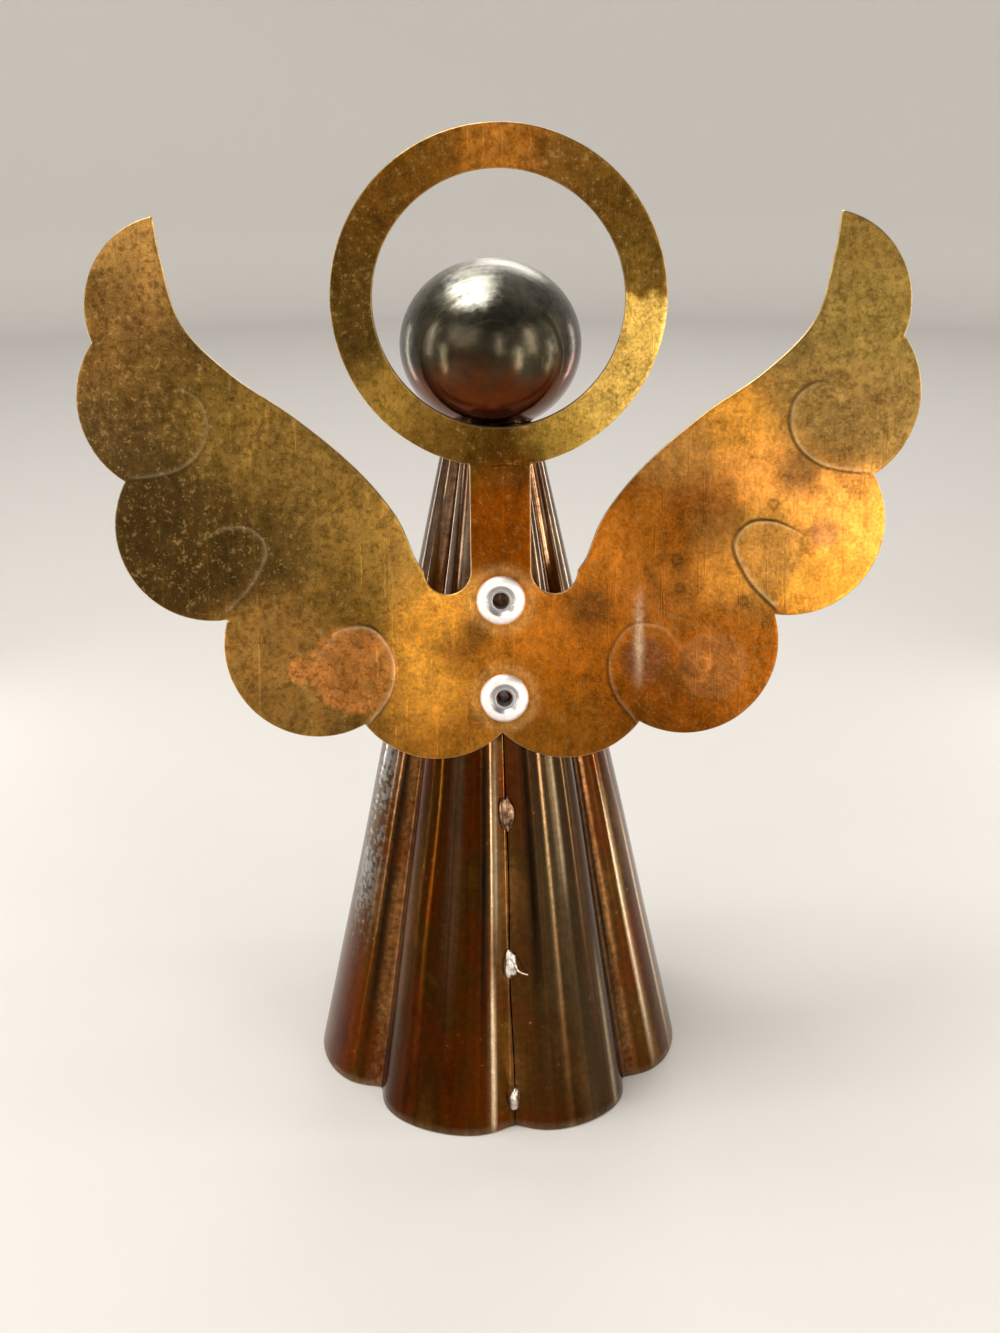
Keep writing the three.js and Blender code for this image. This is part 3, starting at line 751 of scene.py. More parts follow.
# Height of the sheet's middle surface over its flat: the feather curls, each a step up from the
# outside that dies away inwards, an eye boss at each curl's end, and a slow uneven wave.
edge_gap = np.min([nearest(flat, line, True)[0] for line in outlines], 0)
relief = np.zeros(len(flat))
curl_share = np.zeros(len(flat))
curl_light = np.zeros(len(flat))
for line, strength in zip(curls, CURL_STRENGTHS):
    gap, index, side = nearest(flat, line)
    inner = gap * side * (-1 if line[0, 0] > 0 else 1)
    fade = strength * np.clip((len(line) - index) / (0.35 * len(line)), 0, 1) * np.clip(index / 4, 0, 1)
    step = 1 / (1 + np.exp(-np.clip(inner / CURL_EDGE, -30, 30)))
    swell = step * np.exp(-np.maximum(inner, 0) / CURL_REACH)
    relief += CURL_HEIGHT * fade * (swell - 0.25 * np.exp(-gap / 0.5))
    curl_share = np.maximum(curl_share, fade * np.exp(-((gap / 0.22) ** 2)))
    # A painted highlight along the top of each curl's raised step.
    curl_light = np.maximum(curl_light, fade * np.exp(-(((inner - 0.32) / 0.16) ** 2)))
    eye = np.hypot(*(flat - line[-1]).T)
    relief += 0.14 * np.exp(-((eye / 1.5) ** 2)) - 0.08 * np.exp(-(((eye - 2.2) / 0.5) ** 2))
s, t = flat.T
relief += 0.05 * np.sin(0.31 * s + 0.17 * t + 1.3) * np.sin(0.23 * t - 0.9)
relief += 0.035 * np.sin(0.62 * s - 0.41 * t) * np.sin(0.37 * t + 0.5 * s)
# It stays nearly flat where it bears on the skirt, and the neck has a small oval dent at its top.
relief *= 1 - 0.8 * np.exp(-((s / 7) ** 4)) * (t < 0)
dented = np.hypot((s - 1.4) / 2.6, (t + 1.3) / 1.6)
relief += 0.1 * np.exp(-(((dented - 1) / 0.22) ** 2)) * (t < 0.1)

inset = np.clip(edge_gap, 0, SHEET_EDGE)
half_thick = SHEET / 2 - SHEET_EDGE + np.sqrt(SHEET_EDGE**2 - (SHEET_EDGE - inset) ** 2)


def bent(flat, height):
    """The flat cut-out with its neck and ring bent along the fold line: below it nothing turns, over
    the bend the turn grows with length, and past it all of the ring has turned by the lean. Height
    is along the turned normal. The wings beside the ring stay flat."""
    s, t = flat.T
    bends = (np.hypot(s, t - HALO_CENTRE) < HALO_OUTER + 0.05) | (np.abs(s) < NECK_HALF + 0.05)
    turn = np.where(bends, np.clip(t / BEND_RADIUS, 0, LEAN), 0)
    past = t - BEND_RADIUS * turn
    up = BEND_RADIUS * np.sin(turn) + past * np.cos(turn) - height * np.sin(turn)
    out = BEND_RADIUS * (1 - np.cos(turn)) + past * np.sin(turn) + height * np.cos(turn)
    return np.stack([s, up, out], -1)


_, plate_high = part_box("wing_halo_plate")
fold_z = plate_high.z / MM - HALO_CENTRE - HALO_OUTER
fold_y = plate_high.y / MM - TIP_POINT[1] * math.sin(LEAN)
lean_frame = np.array([[1, 0, 0], [0, math.sin(LEAN), math.cos(LEAN)], [0, -math.cos(LEAN), math.sin(LEAN)]])


def from_sheet(points):
    """Points in the sheet's own frame (across, up the slope, out of its face) in the bell's frame."""
    return np.asarray(points) @ lean_frame + np.array([0, fold_y, fold_z])


front = bent(flat, SHEET / 2 + relief + half_thick)
back = bent(flat, SHEET / 2 + relief - half_thick)
count = len(flat)
sides = np.concatenate([triangles[:, [0, 1]], triangles[:, [1, 2]], triangles[:, [2, 0]]])
once = np.sort(sides, 1) @ [count, 1]
_, where, times = np.unique(once, return_index=True, return_counts=True)
rim = sides[where[times == 1]]
wall = np.stack([rim[:, 1], rim[:, 0], rim[:, 0] + count, rim[:, 1] + count], -1)
faces = triangles.tolist() + (triangles[:, ::-1] + count).tolist() + wall.tolist()

# Tarnish by place, with painted reflection and painted shade in it: the orange-brown and the lighter
# and darker patches partly stand in for reflections. Columns: centre across and up the slope, size,
# and the tint it leans to.
OLIVE = (0.32, 0.17, 0.025)
DARK_OLIVE = (0.2, 0.1, 0.014)
GOLD = (0.62, 0.26, 0.03)
ORANGE = (0.48, 0.15, 0.012)
BROWN = (0.32, 0.09, 0.005)
UMBER = (0.2, 0.045, 0.001)
TINTS = [
    (-42, 28, 5, (0.45, 0.235, 0.06)), (-46, 17, 6, (0.2, 0.1, 0.024)), (-46, 3, 5, (0.1, 0.056, 0.017)),
    (-36, 6, 5, (0.22, 0.128, 0.024)), (-42, 10, 5, (0.13, 0.07, 0.016)), (-41, -4, 5, (0.07, 0.038, 0.01)),
    (-35, -10, 6, (0.075, 0.04, 0.01)), (-30, 2, 6, (0.26, 0.143, 0.028)),
    (-27, -7, 6, (0.15, 0.085, 0.018)), (-24, 2, 5, (0.24, 0.135, 0.028)), (-18, -8, 6, (0.4, 0.215, 0.04)),
    (-30, -22, 5, (0.34, 0.165, 0.035)), (-26, -33, 5, (0.32, 0.16, 0.034)),
    (-18, -34, 4, (0.14, 0.07, 0.014)), (-19, -18, 4, DARK_OLIVE), (-13, -13, 4, (0.4, 0.21, 0.04)),
    (-9, -18.5, 4, (0.78, 0.33, 0.038)), (-9, -27, 4, (0.75, 0.33, 0.04)), (-7, -36, 5, (0.4, 0.15, 0.015)),
    (-13, -31, 4, GOLD), (-3, -25, 4, (0.47, 0.16, 0.012)), (5, -22, 4, ORANGE),
    (8, -35, 6, (0.2, 0.068, 0.005)), (6, -28, 4, (0.3, 0.084, 0.004)), (14, -22, 5, BROWN),
    (20, -31, 6, (0.19, 0.048, 0.003)), (29, -25, 6, (0.26, 0.075, 0.006)), (14, -13, 4, ORANGE),
    (20, -10, 5, (0.26, 0.08, 0.006)), (19, -16, 5, (0.25, 0.082, 0.012)), (26, -6, 5, (0.13, 0.03, 0.001)),
    (24, 1, 4, (0.36, 0.165, 0.034)), (31, 5, 4, GOLD), (33, -1, 4, (0.7, 0.28, 0.05)),
    (29, -13, 4, (0.55, 0.22, 0.03)), (41, -4, 4, (0.84, 0.33, 0.06)), (45, -8, 5, (0.9, 0.36, 0.055)),
    (43, -15, 4, GOLD), (34, -10, 4, OLIVE), (42, 2, 3, (0.12, 0.065, 0.016)),
    (46, 5, 5, (0.24, 0.14, 0.036)), (39, 8, 6, (0.22, 0.125, 0.032)), (41, 18, 6, (0.22, 0.14, 0.034)),
    (46, 18, 4, (0.25, 0.16, 0.035)), (43, 28, 4, (0.26, 0.155, 0.034)), (0, -8, 4.5, UMBER),
    (1, -1, 2.5, UMBER), (0, 2.5, 4, (0.09, 0.04, 0.004)), (-8, 4.5, 4, DARK_OLIVE),
    (9, 5, 4, (0.4, 0.24, 0.04)), (-14, 9, 4, (0.36, 0.2, 0.034)), (-17.5, 16, 4, (0.13, 0.07, 0.012)),
    (-18, 23, 5, (0.1, 0.052, 0.009)), (-14, 32, 5, (0.17, 0.07, 0.008)), (-8, 37, 3, (0.2, 0.08, 0.008)),
    (0, 38.5, 4, (0.3, 0.1, 0.012)), (8, 37, 3, (0.16, 0.07, 0.01)), (14, 32, 4, (0.13, 0.06, 0.008)),
    (18, 25, 4, (0.15, 0.08, 0.012)), (17, 15, 4, GOLD),
]
weight_sum = np.full((len(flat), 1), 1e-6)
tint = weight_sum * np.array(OLIVE)
for s0, t0, size, colour in TINTS:
    weight = np.exp(-(((s - s0) ** 2 + (t - t0) ** 2) / size**2))[:, None]
    tint = tint + weight * np.array(colour)
    weight_sum = weight_sum + weight
tint /= weight_sum


def distance(s0, t0):
    """Of each point of the sheet from a place on it."""
    return np.hypot(s - s0, t - t0)


def stained(tint, share, colour):
    """A tint blended towards a colour by a share at each point."""
    share = np.asarray(share, float)[:, None]
    return tint * (1 - share) + share * np.array(colour)


# Round stains: centre, radius, width of the soft edge, share, and colour.
PALE_STAINS = [
    (-19.3, -26.1, 5.6, 0.4, 0.75, (0.55, 0.2, 0.045)),
    (-26.2, -26.2, 1.4, 0.5, 0.8, (0.55, 0.2, 0.05)),
    (27.6, -26.0, 4.2, 0.6, 0.35, (0.3, 0.13, 0.04)),
    (34.6, -11.4, 4.0, 0.4, 0.6, (0.4, 0.17, 0.035)),
    (41.5, -9.0, 1.5, 0.8, 0.7, (0.42, 0.17, 0.06)),
]
DARK_STAINS = [
    (11.3, -18.5, 1.6, 3.0, 0.75, (0.13, 0.045, 0.008)),
    (27.5, -8.5, 1.5, 3.5, 0.6, (0.16, 0.07, 0.015)),
    (38.0, -1.5, 1.6, 2.2, 0.65, (0.07, 0.04, 0.015)),
    (-6.0, -23.9, 0.8, 2.6, 0.6, (0.2, 0.07, 0.012)),
    (-3.2, -21.2, 1.0, 2.0, 0.6, (0.14, 0.055, 0.012)),
    (18.5, -25.0, 2.2, 1.6, 0.6, (0.1, 0.035, 0.02)),
    (22.0, -27.5, 1.4, 1.2, 0.5, (0.07, 0.028, 0.006)),
    (33.0, -18.0, 1.5, 2.5, 0.5, (0.11, 0.06, 0.012)),
    (19.0, -34.5, 2.0, 3.0, 0.45, (0.07, 0.025, 0.003)),
    (14.5, -2.0, 0.8, 3.0, 0.45, (0.12, 0.04, 0.006)),
]
DROP_MARKS = [(22.6, -12.2), (23.0, -15.9), (31.2, -17.6), (48.1, 8.0), (34.9, -5.2), (-41.8, -3.9)]


def with_stains(tint, stains):
    for s0, t0, radius, softness, share, colour in stains:
        spread = np.clip((radius + softness - distance(s0, t0)) / softness, 0, 1)
        tint = stained(tint, share * spread, colour)
    return tint


tint = with_stains(tint, PALE_STAINS)
for place in DROP_MARKS:
    tint = stained(tint, 0.7 * np.exp(-(((distance(*place) - 0.55) / 0.28) ** 2)), (0.06, 0.025, 0.006))
tint = with_stains(tint, DARK_STAINS)
# A pale upright smear, and a pale abraded ring round each rivet.
smear = np.exp(-(((s - 17.8) / 0.55) ** 2)) * np.clip(1.2 - np.abs(t + 22.4) / 6, 0, 1)
tint = stained(tint, 0.55 * smear, (0.85, 0.62, 0.4))
for place in RIVET_SPOTS.values():
    tint = stained(tint, 0.35 * np.exp(-(((distance(*place) - 4.0) / 0.7) ** 2)), (0.7, 0.38, 0.12))
# A painted reflection on the ring's right side, its coppery top, and the dark dent in the neck.
ring_gap = distance(0, HALO_CENTRE)
ring_turn = np.arctan2(t - HALO_CENTRE, s)
in_ring = (t > 0) & (ring_gap < HALO_OUTER + 0.1)
lit = np.clip((0.06 + 0.03 * np.sin(2.1 * ring_gap) - ring_turn) / 0.06, 0, 1)
lit *= np.clip((ring_turn + 1.05) / 0.35, 0, 1)
tint = stained(tint, 0.9 * lit * in_ring, (0.95, 0.6, 0.13))
copper_top = np.clip((s + 4.4) / 0.3, 0, 1) * np.clip((4.5 - s) / 3, 0, 1) * (t > 32)
tint = stained(tint, 0.7 * copper_top, (0.46, 0.17, 0.02))
tint = stained(tint, 0.75 * np.clip((1.15 - dented) / 0.3, 0, 1) * (t < 0.1), (0.12, 0.04, 0.006))
# How much grime lies on it: most on the left wing, the ring and the right wing's tip.
left_wing = np.clip((-s - 9) / 6, 0, 1)
right_tip = np.clip((s + t - 38) / 6, 0, 1)
grime = np.maximum.reduce([left_wing, 0.7 * right_tip, 0.8 * in_ring]).clip(0.36)

aged, wire, sockets = new_finish("aged_wing_brass")
place = wire.points()
patina = wire.node("Attribute", {"attribute_name": "patina"}, output="Color")
grime_share, rubbed, groove = (wire.mark(name) for name in ("grime", "rubbed", "groove"))
cloud = place.noise(120.0, 6.0, 0.62, 0.5)
mottle = place.noise(520.0, 5.0, 0.6, 0.3)
speck = place.noise(2300.0, 4.0, 0.65)
grit = place.noise(1100.0, 6.0, 0.75)
drift = place.noise(60.0, 3.0, 0.5, 1.5)
scratch = place.stretched((0.3, 0.6, 0.5), (1800.0, 45.0, 60.0)).noise(1.0, 2.0, 0.5).rising(0.67, 0.71)
crossed = place.stretched((0.2, -0.7, 0.3), (1600.0, 50.0, 50.0)).noise(1.0, 2.0, 0.5).rising(0.68, 0.72)
scratch = scratch + crossed
brushed = place.stretched((0.1, 1.1, 0.1), (700.0, 90.0, 120.0)).noise(1.0, 5.0, 0.75)
dark_speck = (grit * 0.8 + cloud * 0.2).rising(0.5, 0.58) * (0.12 + 0.7 * grime_share)
pale_speck = (1 - grit * 0.6 - speck * 0.4).rising(0.53, 0.6) * (0.15 + 0.6 * grime_share)
shade = 0.96 + 1.7 * (cloud - 0.5) + 1.3 * (mottle - 0.5) + 1.8 * (speck - 0.5) + 0.8 * (brushed - 0.5)
# The per-point tint carries tarnish together with painted reflection and painted shade.
colour = patina.brighter(shade + 1.0 * (grit - 0.5))
colour = colour.toward((0.05, 0.026, 0.006, 1), dark_speck * 0.7)
colour = colour.toward((0.62, 0.4, 0.13, 1), pale_speck * 0.45)
colour = colour.toward((0.05, 0.022, 0.006, 1), groove * 0.6)
# Pale abraded edges, and painted highlights along the curls' raised steps.
colour = colour.toward((1.0, 0.8, 0.45, 1), rubbed * (0.2 + 0.9 * mottle))
feed(
    sockets,
    Metallic=1.0,
    Base_Color=colour,
    Roughness=0.24 + 0.12 * cloud + 0.14 * dark_speck + 0.1 * drift + 0.1 * scratch,
    Normal=(0.5 * mottle + 0.3 * speck + 1.3 * drift + 0.2 * scratch).bump(0.4, 0.0003),
)
wings = new_mesh("wings_and_halo", from_sheet(np.concatenate([front, back])) * MM, faces, aged, 60)
colours = np.ones((2 * count, 4), np.float32)
colours[:count, :3] = tint
colours[count:, :3] = tint * 0.5 + np.array(OLIVE) * 0.5
wings.data.attributes.new("patina", "FLOAT_COLOR", "POINT").data.foreach_set("color", colours.ravel())
upper_feathers = (np.abs(s) > 30) & (t > 8)
edge_rubbing_and_ridge_highlight = np.clip(1 - edge_gap / 0.13, 0, 1) * np.where(upper_feathers, 1.5, 0.9)
# Along each curl's raised step a painted highlight joins the abraded edges.
edge_rubbing_and_ridge_highlight = np.maximum(edge_rubbing_and_ridge_highlight, 0.4 * curl_light)
for name, values in (("grime", grime), ("rubbed", edge_rubbing_and_ridge_highlight), ("groove", curl_share)):
    carry(wings, name, [values, values])
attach(wings, "bell")
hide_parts("wing_halo_plate")

# ---- Rivets ----------------------------------------------------------------------------------------
# Two aluminium blind rivets hold the sheet to the skirt's seam. Each is a turned sleeve with a
# domed flange and a coned recess, its end swelled inside the skirt over the snapped steel mandrel.
FLANGE = 3.175
SHANK = 1.6
BORE = 1.03
DOME = 1.05
BLIND_LENGTH = 2.9
SLEEVE_SIDES = 72
PIN_SIDES = 36
RECESS_POINTS = 6


def revolved(profile, segments):
    """A profile of radius and height pairs turned about the Z axis."""
    r, z = np.asarray(profile, float).T[:, :, None]
    angle = np.linspace(0, 2 * np.pi, segments, endpoint=False)
    return np.stack([r * np.cos(angle), r * np.sin(angle), z + 0 * angle], -1)


def revolved_faces(profile, segments, closed=False):
    """Faces of a turned profile: a band per step, and a cap at each end of an open profile."""
    faces = [face[::-1] for face in grid_faces(len(profile), segments, closed, True)]
    if not closed:
        end = list(range(segments))
        faces += [end[::-1], *shifted([end], (len(profile) - 1) * segments)]
    return faces


aluminium, wire, sockets = new_finish("rivet_aluminium")
place = wire.points()
turning = wire.node("UVMap", {"uv_map": "turned"})
lathe = turning.stretched((0, 0, 0), (3.0, 2600.0, 1.0)).noise(1.0, 3.0, 0.6)
smudge = place.noise(700.0, 4.0, 0.6)
recess = wire.mark("recess")
colour = smudge.ramp([(0.3, (0.86, 0.8, 0.78)), (0.6, (1.0, 0.98, 0.97))])
feed(
    sockets,
    Metallic=1.0,
    # The coned recess is painted darker grey, as painted shade.
    Base_Color=colour.toward((0.42, 0.41, 0.42, 1), recess * 0.8),
    Roughness=0.42 + 0.2 * smudge - 0.12 * recess,
    Normal=(lathe + 0.4 * place.noise(3000.0, 2.0)).bump(0.3, 0.0001),
)
steel, wire, sockets = new_finish("snapped_steel")
grain = wire.points().noise(2200.0, 4.0, 0.6)
feed(
    sockets,
    Metallic=1.0,
    Base_Color=grain.ramp([(0.3, (0.04, 0.04, 0.04)), (0.7, (0.26, 0.25, 0.24))]),
    Roughness=0.3 + 0.3 * grain,
)
seat = SHEET + 0.04
cone = SHEET + 0.25
stub = BORE - 0.04
angle = np.linspace(0, np.pi / 2, 9)
crown = np.stack([FLANGE - 0.95 + 0.95 * np.cos(angle), seat + 0.12 + (DOME - 0.12) * np.sin(angle)], -1)
lip = [(2.0, seat + DOME), (1.92, seat + DOME - 0.06), (1.45, cone + 0.28), (1.32, cone + 0.3),
       (1.22, cone + 0.4), (1.12, cone + 0.38), (BORE, cone + 0.22)]
for name, (s0, t0) in RIVET_SPOTS.items():
    spot = np.array([s0, t0, 0])
    rivet_z = fold_z + t0 * math.cos(LEAN)
    wall_inside = (cone_radius(rivet_z) * SEAM_SHARE - SKIRT_WALL) * math.cos(SEAM_AZIMUTH)
    foot = (wall_inside + fold_y + t0 * math.sin(LEAN)) * math.cos(LEAN) - BLIND_LENGTH
    blind_end = [(BORE, foot), (1.3, foot + 0.05), (SHANK, foot + 0.3), (2.25, foot + 0.9),
                 (2.4, foot + 1.4), (2.25, foot + 2.0), (SHANK, foot + 2.6), (SHANK, seat),
                 (FLANGE - 0.04, seat)]
    profile = np.concatenate([blind_end, crown, lip])
    sleeve_points = from_sheet(revolved(profile, SLEEVE_SIDES) + spot)
    sleeve_faces = revolved_faces(profile, SLEEVE_SIDES, True)
    sleeve = new_mesh(f"rivet_{name}", sleeve_points * MM, sleeve_faces, aluminium, 35)
    in_recess = np.arange(len(profile)) >= len(profile) - RECESS_POINTS
    carry(sleeve, "recess", np.repeat(in_recess, SLEEVE_SIDES))
    round_share = np.tile(np.arange(SLEEVE_SIDES) / SLEEVE_SIDES, len(profile))
    lay_map(sleeve, "turned", round_share, np.repeat(profile[:, 0] * MM, SLEEVE_SIDES))
    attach(sleeve, "bell")
    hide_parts(f"rivet_{name}_sleeve")
    profile = [(0.3, foot - 1.5), (1.2, foot - 1.35), (1.7, foot - 0.9), (1.8, foot - 0.3),
               (1.7, foot - 0.05), (stub, foot - 0.02), (stub, cone - 2.6), (stub - 0.15, cone - 2.4),
               (0.3, cone - 2.2)]
    mandrel_points = from_sheet(revolved(profile, PIN_SIDES) + spot)
    mandrel_faces = revolved_faces(profile, PIN_SIDES)
    mandrel = new_mesh(f"rivet_{name}_pin", mandrel_points * MM, mandrel_faces, steel, 35)
    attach(mandrel, "bell")
    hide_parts(f"rivet_{name}_mandrel")

# ---- Head ------------------------------------------------------------------------------------------
# A hollow ball of silvered brass, a little flattened, that rests on the skirt's mouth. It is
# polished, with fine scratches on top. Its colour is painted by height: reddish brown towards the
# bottom, partly tarnish and partly painted reflection, darker in the middle, and lighter at the top
# with a painted highlight patch at the upper left.
HEAD_RADIUS = 11.67
HEAD_HALF = (head_high.z - head_low.z) / 2 / MM
HEAD_MOUTH = 1.75
HEAD_WALL = 0.5
HEAD_SIDES = 160
NEAR_TOP = np.pi / 2 - 0.012
head_lift = HEAD_HALF * (1 - math.sqrt(1 - (HEAD_MOUTH / HEAD_RADIUS) ** 2))
head_half = HEAD_HALF + head_lift / 2
head_centre = head_high.z / MM - head_half


def oval(radius, half, start, end, steps):
    """Radius and height of an ellipse about the head's centre between two angles."""
    angle = np.linspace(start, end, steps)
    return np.stack([radius * np.cos(angle), head_centre + half * np.sin(angle)], -1)


mouth = -math.acos(HEAD_MOUTH / HEAD_RADIUS)
mouth_inside = -math.acos(HEAD_MOUTH / (HEAD_RADIUS - HEAD_WALL))
outer = oval(HEAD_RADIUS, head_half, mouth, NEAR_TOP, 120)
inner = oval(HEAD_RADIUS - HEAD_WALL, head_half - HEAD_WALL, NEAR_TOP, mouth_inside, 60)
profile = np.concatenate([outer, inner])
# At the top a cap closes the outer wall and another the inner one, in place of the band between them.
rings = revolved_faces(profile, HEAD_SIDES, True)
first = (len(outer) - 1) * HEAD_SIDES
one_ring = list(range(HEAD_SIDES))
caps = shifted([one_ring], first) + shifted([one_ring[::-1]], first + HEAD_SIDES)
faces = rings[:first] + rings[first + HEAD_SIDES :] + caps

silvered, wire, sockets = new_finish("silvered_head")
place = wire.points()
high = (place.part(2) - head_centre * MM) * (1 / HEAD_RADIUS / MM)
across = (place.part(0) - AXIS_X) * (1 / HEAD_RADIUS / MM)
cloud = place.noise(110.0, 5.0, 0.6, 0.6)
fine = place.noise(900.0, 5.0, 0.65)
grain = place.stretched((0.2, 0.1, 0.4), (70.0, 1300.0, 500.0)).noise(1.0, 3.0, 0.6)
hair = place.stretched((0.9, 0.2, -0.5), (90.0, 2400.0, 90.0)).noise(1.0, 2.0, 0.5).rising(0.68, 0.72)
# Base colour by height: reddish brown low down, partly tarnish and partly painted reflection, darker in the
# middle, and lighter at the top as painted light.
tarnish_and_painted_light = (0.5 + 0.36 * high + 0.3 * (cloud - 0.5)).ramp(
    [(0.05, (0.05, 0.012, 0.001)), (0.36, (0.1, 0.022, 0.002)), (0.5, (0.045, 0.035, 0.02)),
     (0.66, (0.075, 0.07, 0.052)), (0.86, (0.34, 0.33, 0.28))]
)
# A painted highlight patch at the upper left of the top; it also roughens the surface there, as scuffs.
painted_highlight_and_scuffs = 1 - (across + 0.18) * (across + 0.18) * 7 - (high - 0.78) * (high - 0.78) * 9
painted_highlight_and_scuffs = (painted_highlight_and_scuffs + 1.2 * (fine - 0.5) + 0.8 * (grain - 0.5)).rising(0.0, 1.1)
feed(
    sockets,
    Metallic=1.0,
    Base_Color=tarnish_and_painted_light.toward((0.62, 0.6, 0.53, 1), 0.8 * painted_highlight_and_scuffs).brighter(0.1 + 0.8 * fine + 1.0 * grain),
    Roughness=0.11 + 0.05 * cloud + (0.07 + 0.24 * fine) * high.rising(-0.6, 1.0) + 0.08 * hair + 0.12 * painted_highlight_and_scuffs,
    Coat_Weight=0.06,
    Coat_Roughness=0.05,
    Normal=(0.5 * grain + 0.3 * hair + 0.5 * fine).bump(0.16, 0.0003),
)
head = new_mesh("head", on_axis(revolved(profile, HEAD_SIDES)), faces, silvered, 60)
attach(head, "bell")
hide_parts("head_ball")

# ---- Hanger ----------------------------------------------------------------------------------------
# Inside the mouth of the skirt a brass disc takes a screw eye, drawn up by a hexagon nut inside the
# head over a split spring washer. The eye is the end of the screw's wire, bent to a ring.
disc_low, disc_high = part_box("top_disc")
nut_low, nut_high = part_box("head_nut")
washer_low, washer_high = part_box("lock_washer")
screw_low, screw_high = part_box("eye_screw")
SCREW_RADIUS = 1.25
SCREW_HOLE = 1.5
EYE_RADIUS = 2.0
EYE_WIRE = 0.6
COLLAR_RADIUS = 2.3
COLLAR_THICKNESS = 0.8
THREAD_PITCH = 0.5
THREAD_DEPTH = 0.22
RING_SIDES = 96
SCREW_SIDES = 48

plain, wire, sockets = new_finish("plain_brass")
place = wire.points()
grain = place.noise(420.0, 5.0, 0.6)
feed(
    sockets,
    Metallic=1.0,
    Base_Color=grain.ramp([(0.3, (0.2, 0.11, 0.035)), (0.65, (0.55, 0.36, 0.13))]),
    Roughness=0.28 + 0.25 * grain,
    Normal=place.noise(2100.0, 3.0, 0.6).bump(0.25, 0.0002),
)


def rounded(corners, edge=0.12, steps=4):
    """A profile's corners cut round: each becomes a quadratic curve between points an edge away."""
    p = np.array(corners, float)
    before, after = np.roll(p, 1, 0) - p, np.roll(p, -1, 0) - p
    start = p + edge * before / np.hypot(*before.T)[:, None]
    end = p + edge * after / np.hypot(*after.T)[:, None]
    u = np.linspace(0, 1, steps)[None, :, None]
    curve = start[:, None] * (1 - u) ** 2 + 2 * p[:, None] * u * (1 - u) + end[:, None] * u**2
    return curve.reshape(-1, 2)


def ring_profile(inner, outer, low, high, edge=0.12):
    """The square section of a flat ring between two radii and two heights, its corners rounded."""
    return rounded([(outer, low), (outer, high), (inner, high), (inner, low)], edge)


disc_radius = (disc_high.x - disc_low.x) / 2 / MM
profile = ring_profile(SCREW_HOLE, disc_radius, disc_low.z / MM, disc_high.z / MM)
faces = revolved_faces(profile, RING_SIDES, True)
disc = new_mesh("mouth_disc", on_axis(revolved(profile, RING_SIDES)), faces, plain, 35)
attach(disc, "bell")
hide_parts("top_disc")

profile = ring_profile(SCREW_HOLE, (nut_high.x - nut_low.x) / 2 / MM, nut_low.z / MM, nut_high.z / MM, 0.2)
points = revolved(profile, RING_SIDES)
# The outer wall is drawn in to a hexagon whose corners keep the ring's radius.
angle = np.linspace(0, 2 * np.pi, RING_SIDES, endpoint=False)
hexagon = math.cos(np.pi / 6) / np.cos((angle + np.pi / 6) % (np.pi / 3) - np.pi / 6)
outside = (profile[:, 0] > 2.2)[:, None]
points[..., :2] *= np.where(outside, hexagon[None, :], 1)[..., None]
nut = new_mesh("nut", on_axis(points), revolved_faces(profile, RING_SIDES, True), plain, 25)
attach(nut, "bell")
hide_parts("head_nut")

# The washer is cut through, and its two ends stand a little apart in height.
WASHER_GAP = 0.34
WASHER_STEPS = 60
WASHER_RISE = 0.03
profile = ring_profile(SCREW_HOLE, COLLAR_RADIUS, washer_low.z / MM, washer_high.z / MM, 0.1)
angle = WASHER_GAP / 2 + np.linspace(0, 2 * math.pi - WASHER_GAP, WASHER_STEPS)
r, z = profile.T[:, :, None]
points = np.stack([r * np.cos(angle), r * np.sin(angle), z + WASHER_RISE * (angle - np.pi) / np.pi], -1)
faces = [face[::-1] for face in grid_faces(len(profile), WASHER_STEPS, True, False)]
end = (np.arange(len(profile)) * WASHER_STEPS).tolist()
faces += [end, *shifted([end[::-1]], WASHER_STEPS - 1)]
washer = new_mesh("spring_washer", on_axis(points), faces, steel, 35)
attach(washer, "bell")
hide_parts("lock_washer")

WASHER_SEAT = 0.3
collar_low = washer_low.z / MM - WASHER_SEAT - COLLAR_THICKNESS
collar_top = collar_low + COLLAR_THICKNESS
eye_z = screw_low.z / MM + EYE_RADIUS + EYE_WIRE
thread_z = np.arange(collar_top, screw_high.z / MM - 0.4, THREAD_PITCH / 4)
thread_r = SCREW_RADIUS - THREAD_DEPTH * np.abs((thread_z / THREAD_PITCH) % 1 - 0.5) * 2
shank_profile = np.concatenate(
    [
        [(0.2, collar_low - 0.6), (0.85, collar_low - 0.5), (0.9, collar_low - 0.05), (1.1, collar_low)],
        [(COLLAR_RADIUS - 0.15, collar_low), (COLLAR_RADIUS, collar_low + 0.15)],
        [(COLLAR_RADIUS, collar_top - 0.15), (COLLAR_RADIUS - 0.15, collar_top), (SCREW_RADIUS, collar_top)],
        np.stack([thread_r, thread_z], -1)[1:],
        [(SCREW_RADIUS - 0.4, screw_high.z / MM - 0.15), (0.2, screw_high.z / MM)],
    ]
)
shank = revolved(shank_profile, SCREW_SIDES)
angle = np.linspace(np.pi / 2, np.pi / 2 - 1.9 * np.pi, 60)
ring_path = np.stack([0 * angle, EYE_RADIUS * np.cos(angle), eye_z + EYE_RADIUS * np.sin(angle)], -1)
drop = np.linspace(collar_low + 0.2, eye_z + EYE_RADIUS + 0.5, 6)
eye_path = np.concatenate([np.stack([0 * drop, 0 * drop - 0.1, drop], -1), ring_path])
eye_points, eye_faces = tube(eye_path, EYE_WIRE)
points = np.concatenate([shank.reshape(-1, 3), eye_points])
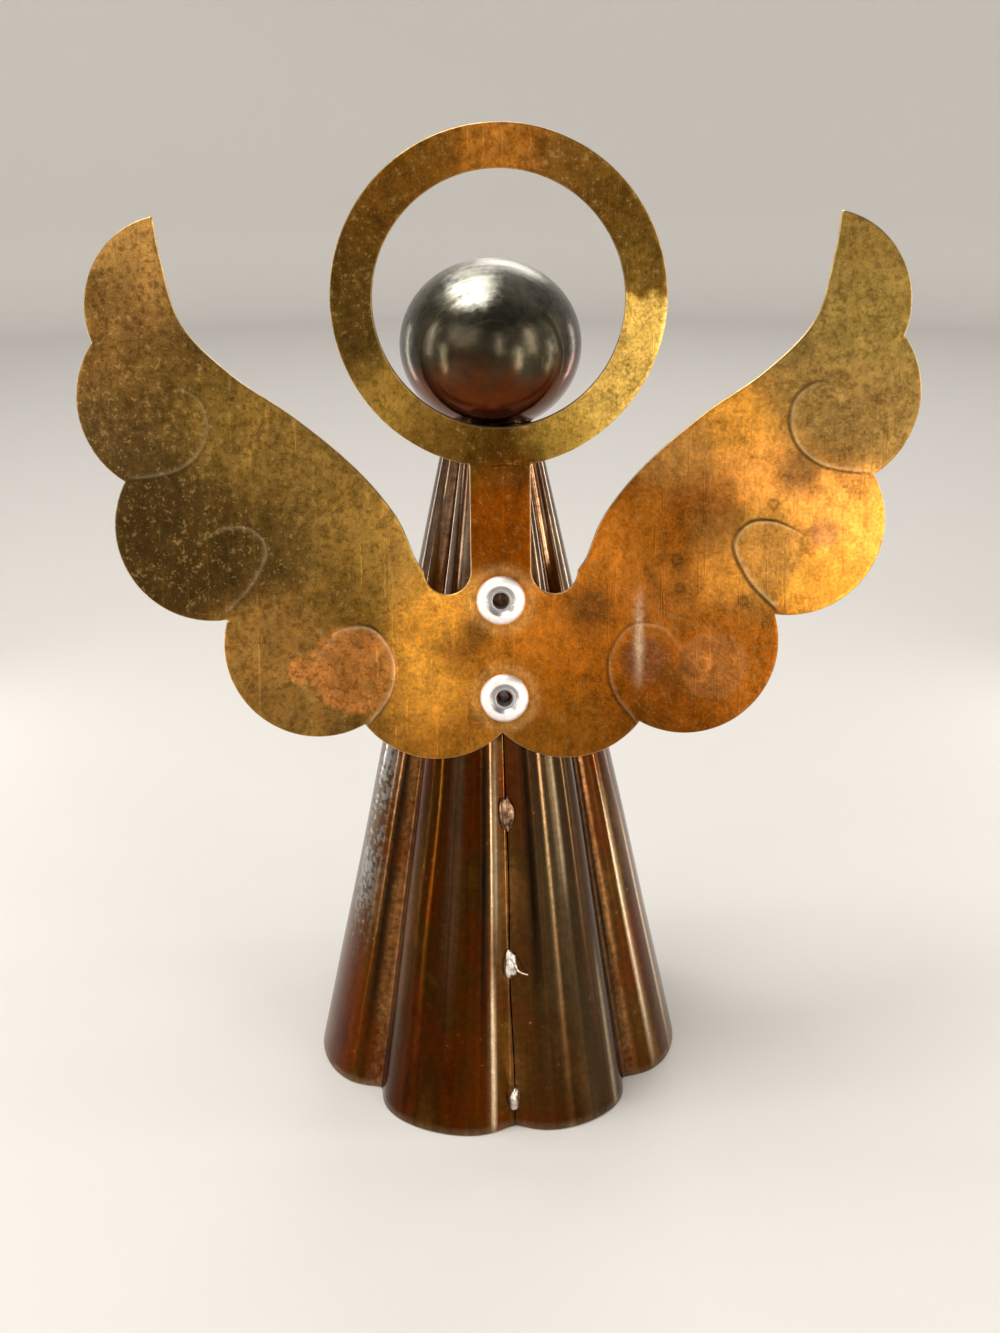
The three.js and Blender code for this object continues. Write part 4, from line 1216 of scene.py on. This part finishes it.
shank_faces = revolved_faces(shank_profile, SCREW_SIDES)
faces = shank_faces + shifted(eye_faces, len(shank_profile) * SCREW_SIDES)
eye = new_mesh("screw_eye", on_axis(points), faces, steel, 35)
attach(eye, "bell")
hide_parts("eye_screw")

# ---- Clapper ---------------------------------------------------------------------------------------
# A long link of steel wire hangs in the eye, a wire rod with a bent loop hangs in the link, and a
# drilled brass ball is peened on the rod's foot.
link_low, link_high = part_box("clapper_link")
rod_low, rod_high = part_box("clapper_rod")
ball_low, ball_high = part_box("clapper_ball")
LINK_WIRE = 0.5
ROD_WIRE = 0.6
BALL_SIDES = 80
BORE_RADIUS = 0.75
link_radius = (link_high.x - link_low.x) / 2 / MM - LINK_WIRE
straight = (link_high.z - link_low.z) / 2 / MM - LINK_WIRE - link_radius
angle = np.linspace(0, 2 * np.pi, 96, endpoint=False) + 0.01
link_z = (link_high.z + link_low.z) / 2 / MM
link_height = link_z + link_radius * np.sin(angle) + straight * np.sign(np.sin(angle))
link_path = np.stack([link_radius * np.cos(angle), 0 * angle, link_height], -1)
points, faces = tube(link_path, LINK_WIRE, True)
link = new_mesh("hanging_link", on_axis(points), faces, steel, 60)
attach(link, "link")
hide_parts("clapper_link")

loop_radius = (rod_high.y - rod_low.y) / 2 / MM - ROD_WIRE
loop_z = rod_high.z / MM - ROD_WIRE - loop_radius
ball_z = (ball_high.z + ball_low.z) / 2 / MM
ball_radius = (ball_high.x - ball_low.x) / 2 / MM
stem = np.linspace(ball_z + 1.0, loop_z - loop_radius - 1.2, 24)
angle = np.linspace(-np.pi / 2 + 0.35, 1.42 * np.pi, 56)
stem_path = np.stack([0 * stem, 0 * stem, stem], -1)
loop_path = np.stack([0 * angle, loop_radius * np.cos(angle), loop_z + loop_radius * np.sin(angle)], -1)
points, faces = tube(np.concatenate([stem_path, loop_path]), ROD_WIRE)
rod = new_mesh("rod_and_loop", on_axis(points), faces, steel, 60)
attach(rod, "clapper")
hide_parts("clapper_rod")

angle = np.linspace(-np.pi / 2 + 0.02, math.acos(0.16), 60)
shell = np.stack([ball_radius * np.cos(angle), ball_z + ball_radius * np.sin(angle)], -1)
bore = [(BORE_RADIUS, ball_z + ball_radius - 0.15), (BORE_RADIUS - 0.03, ball_z + 1.2), (0.1, ball_z + 0.9)]
profile = np.concatenate([shell, bore])
points, faces = revolved(profile, BALL_SIDES), revolved_faces(profile, BALL_SIDES)
ball = new_mesh("clapper_bead", on_axis(points), faces, plain, 50)
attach(ball, "clapper")
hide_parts("clapper_ball")
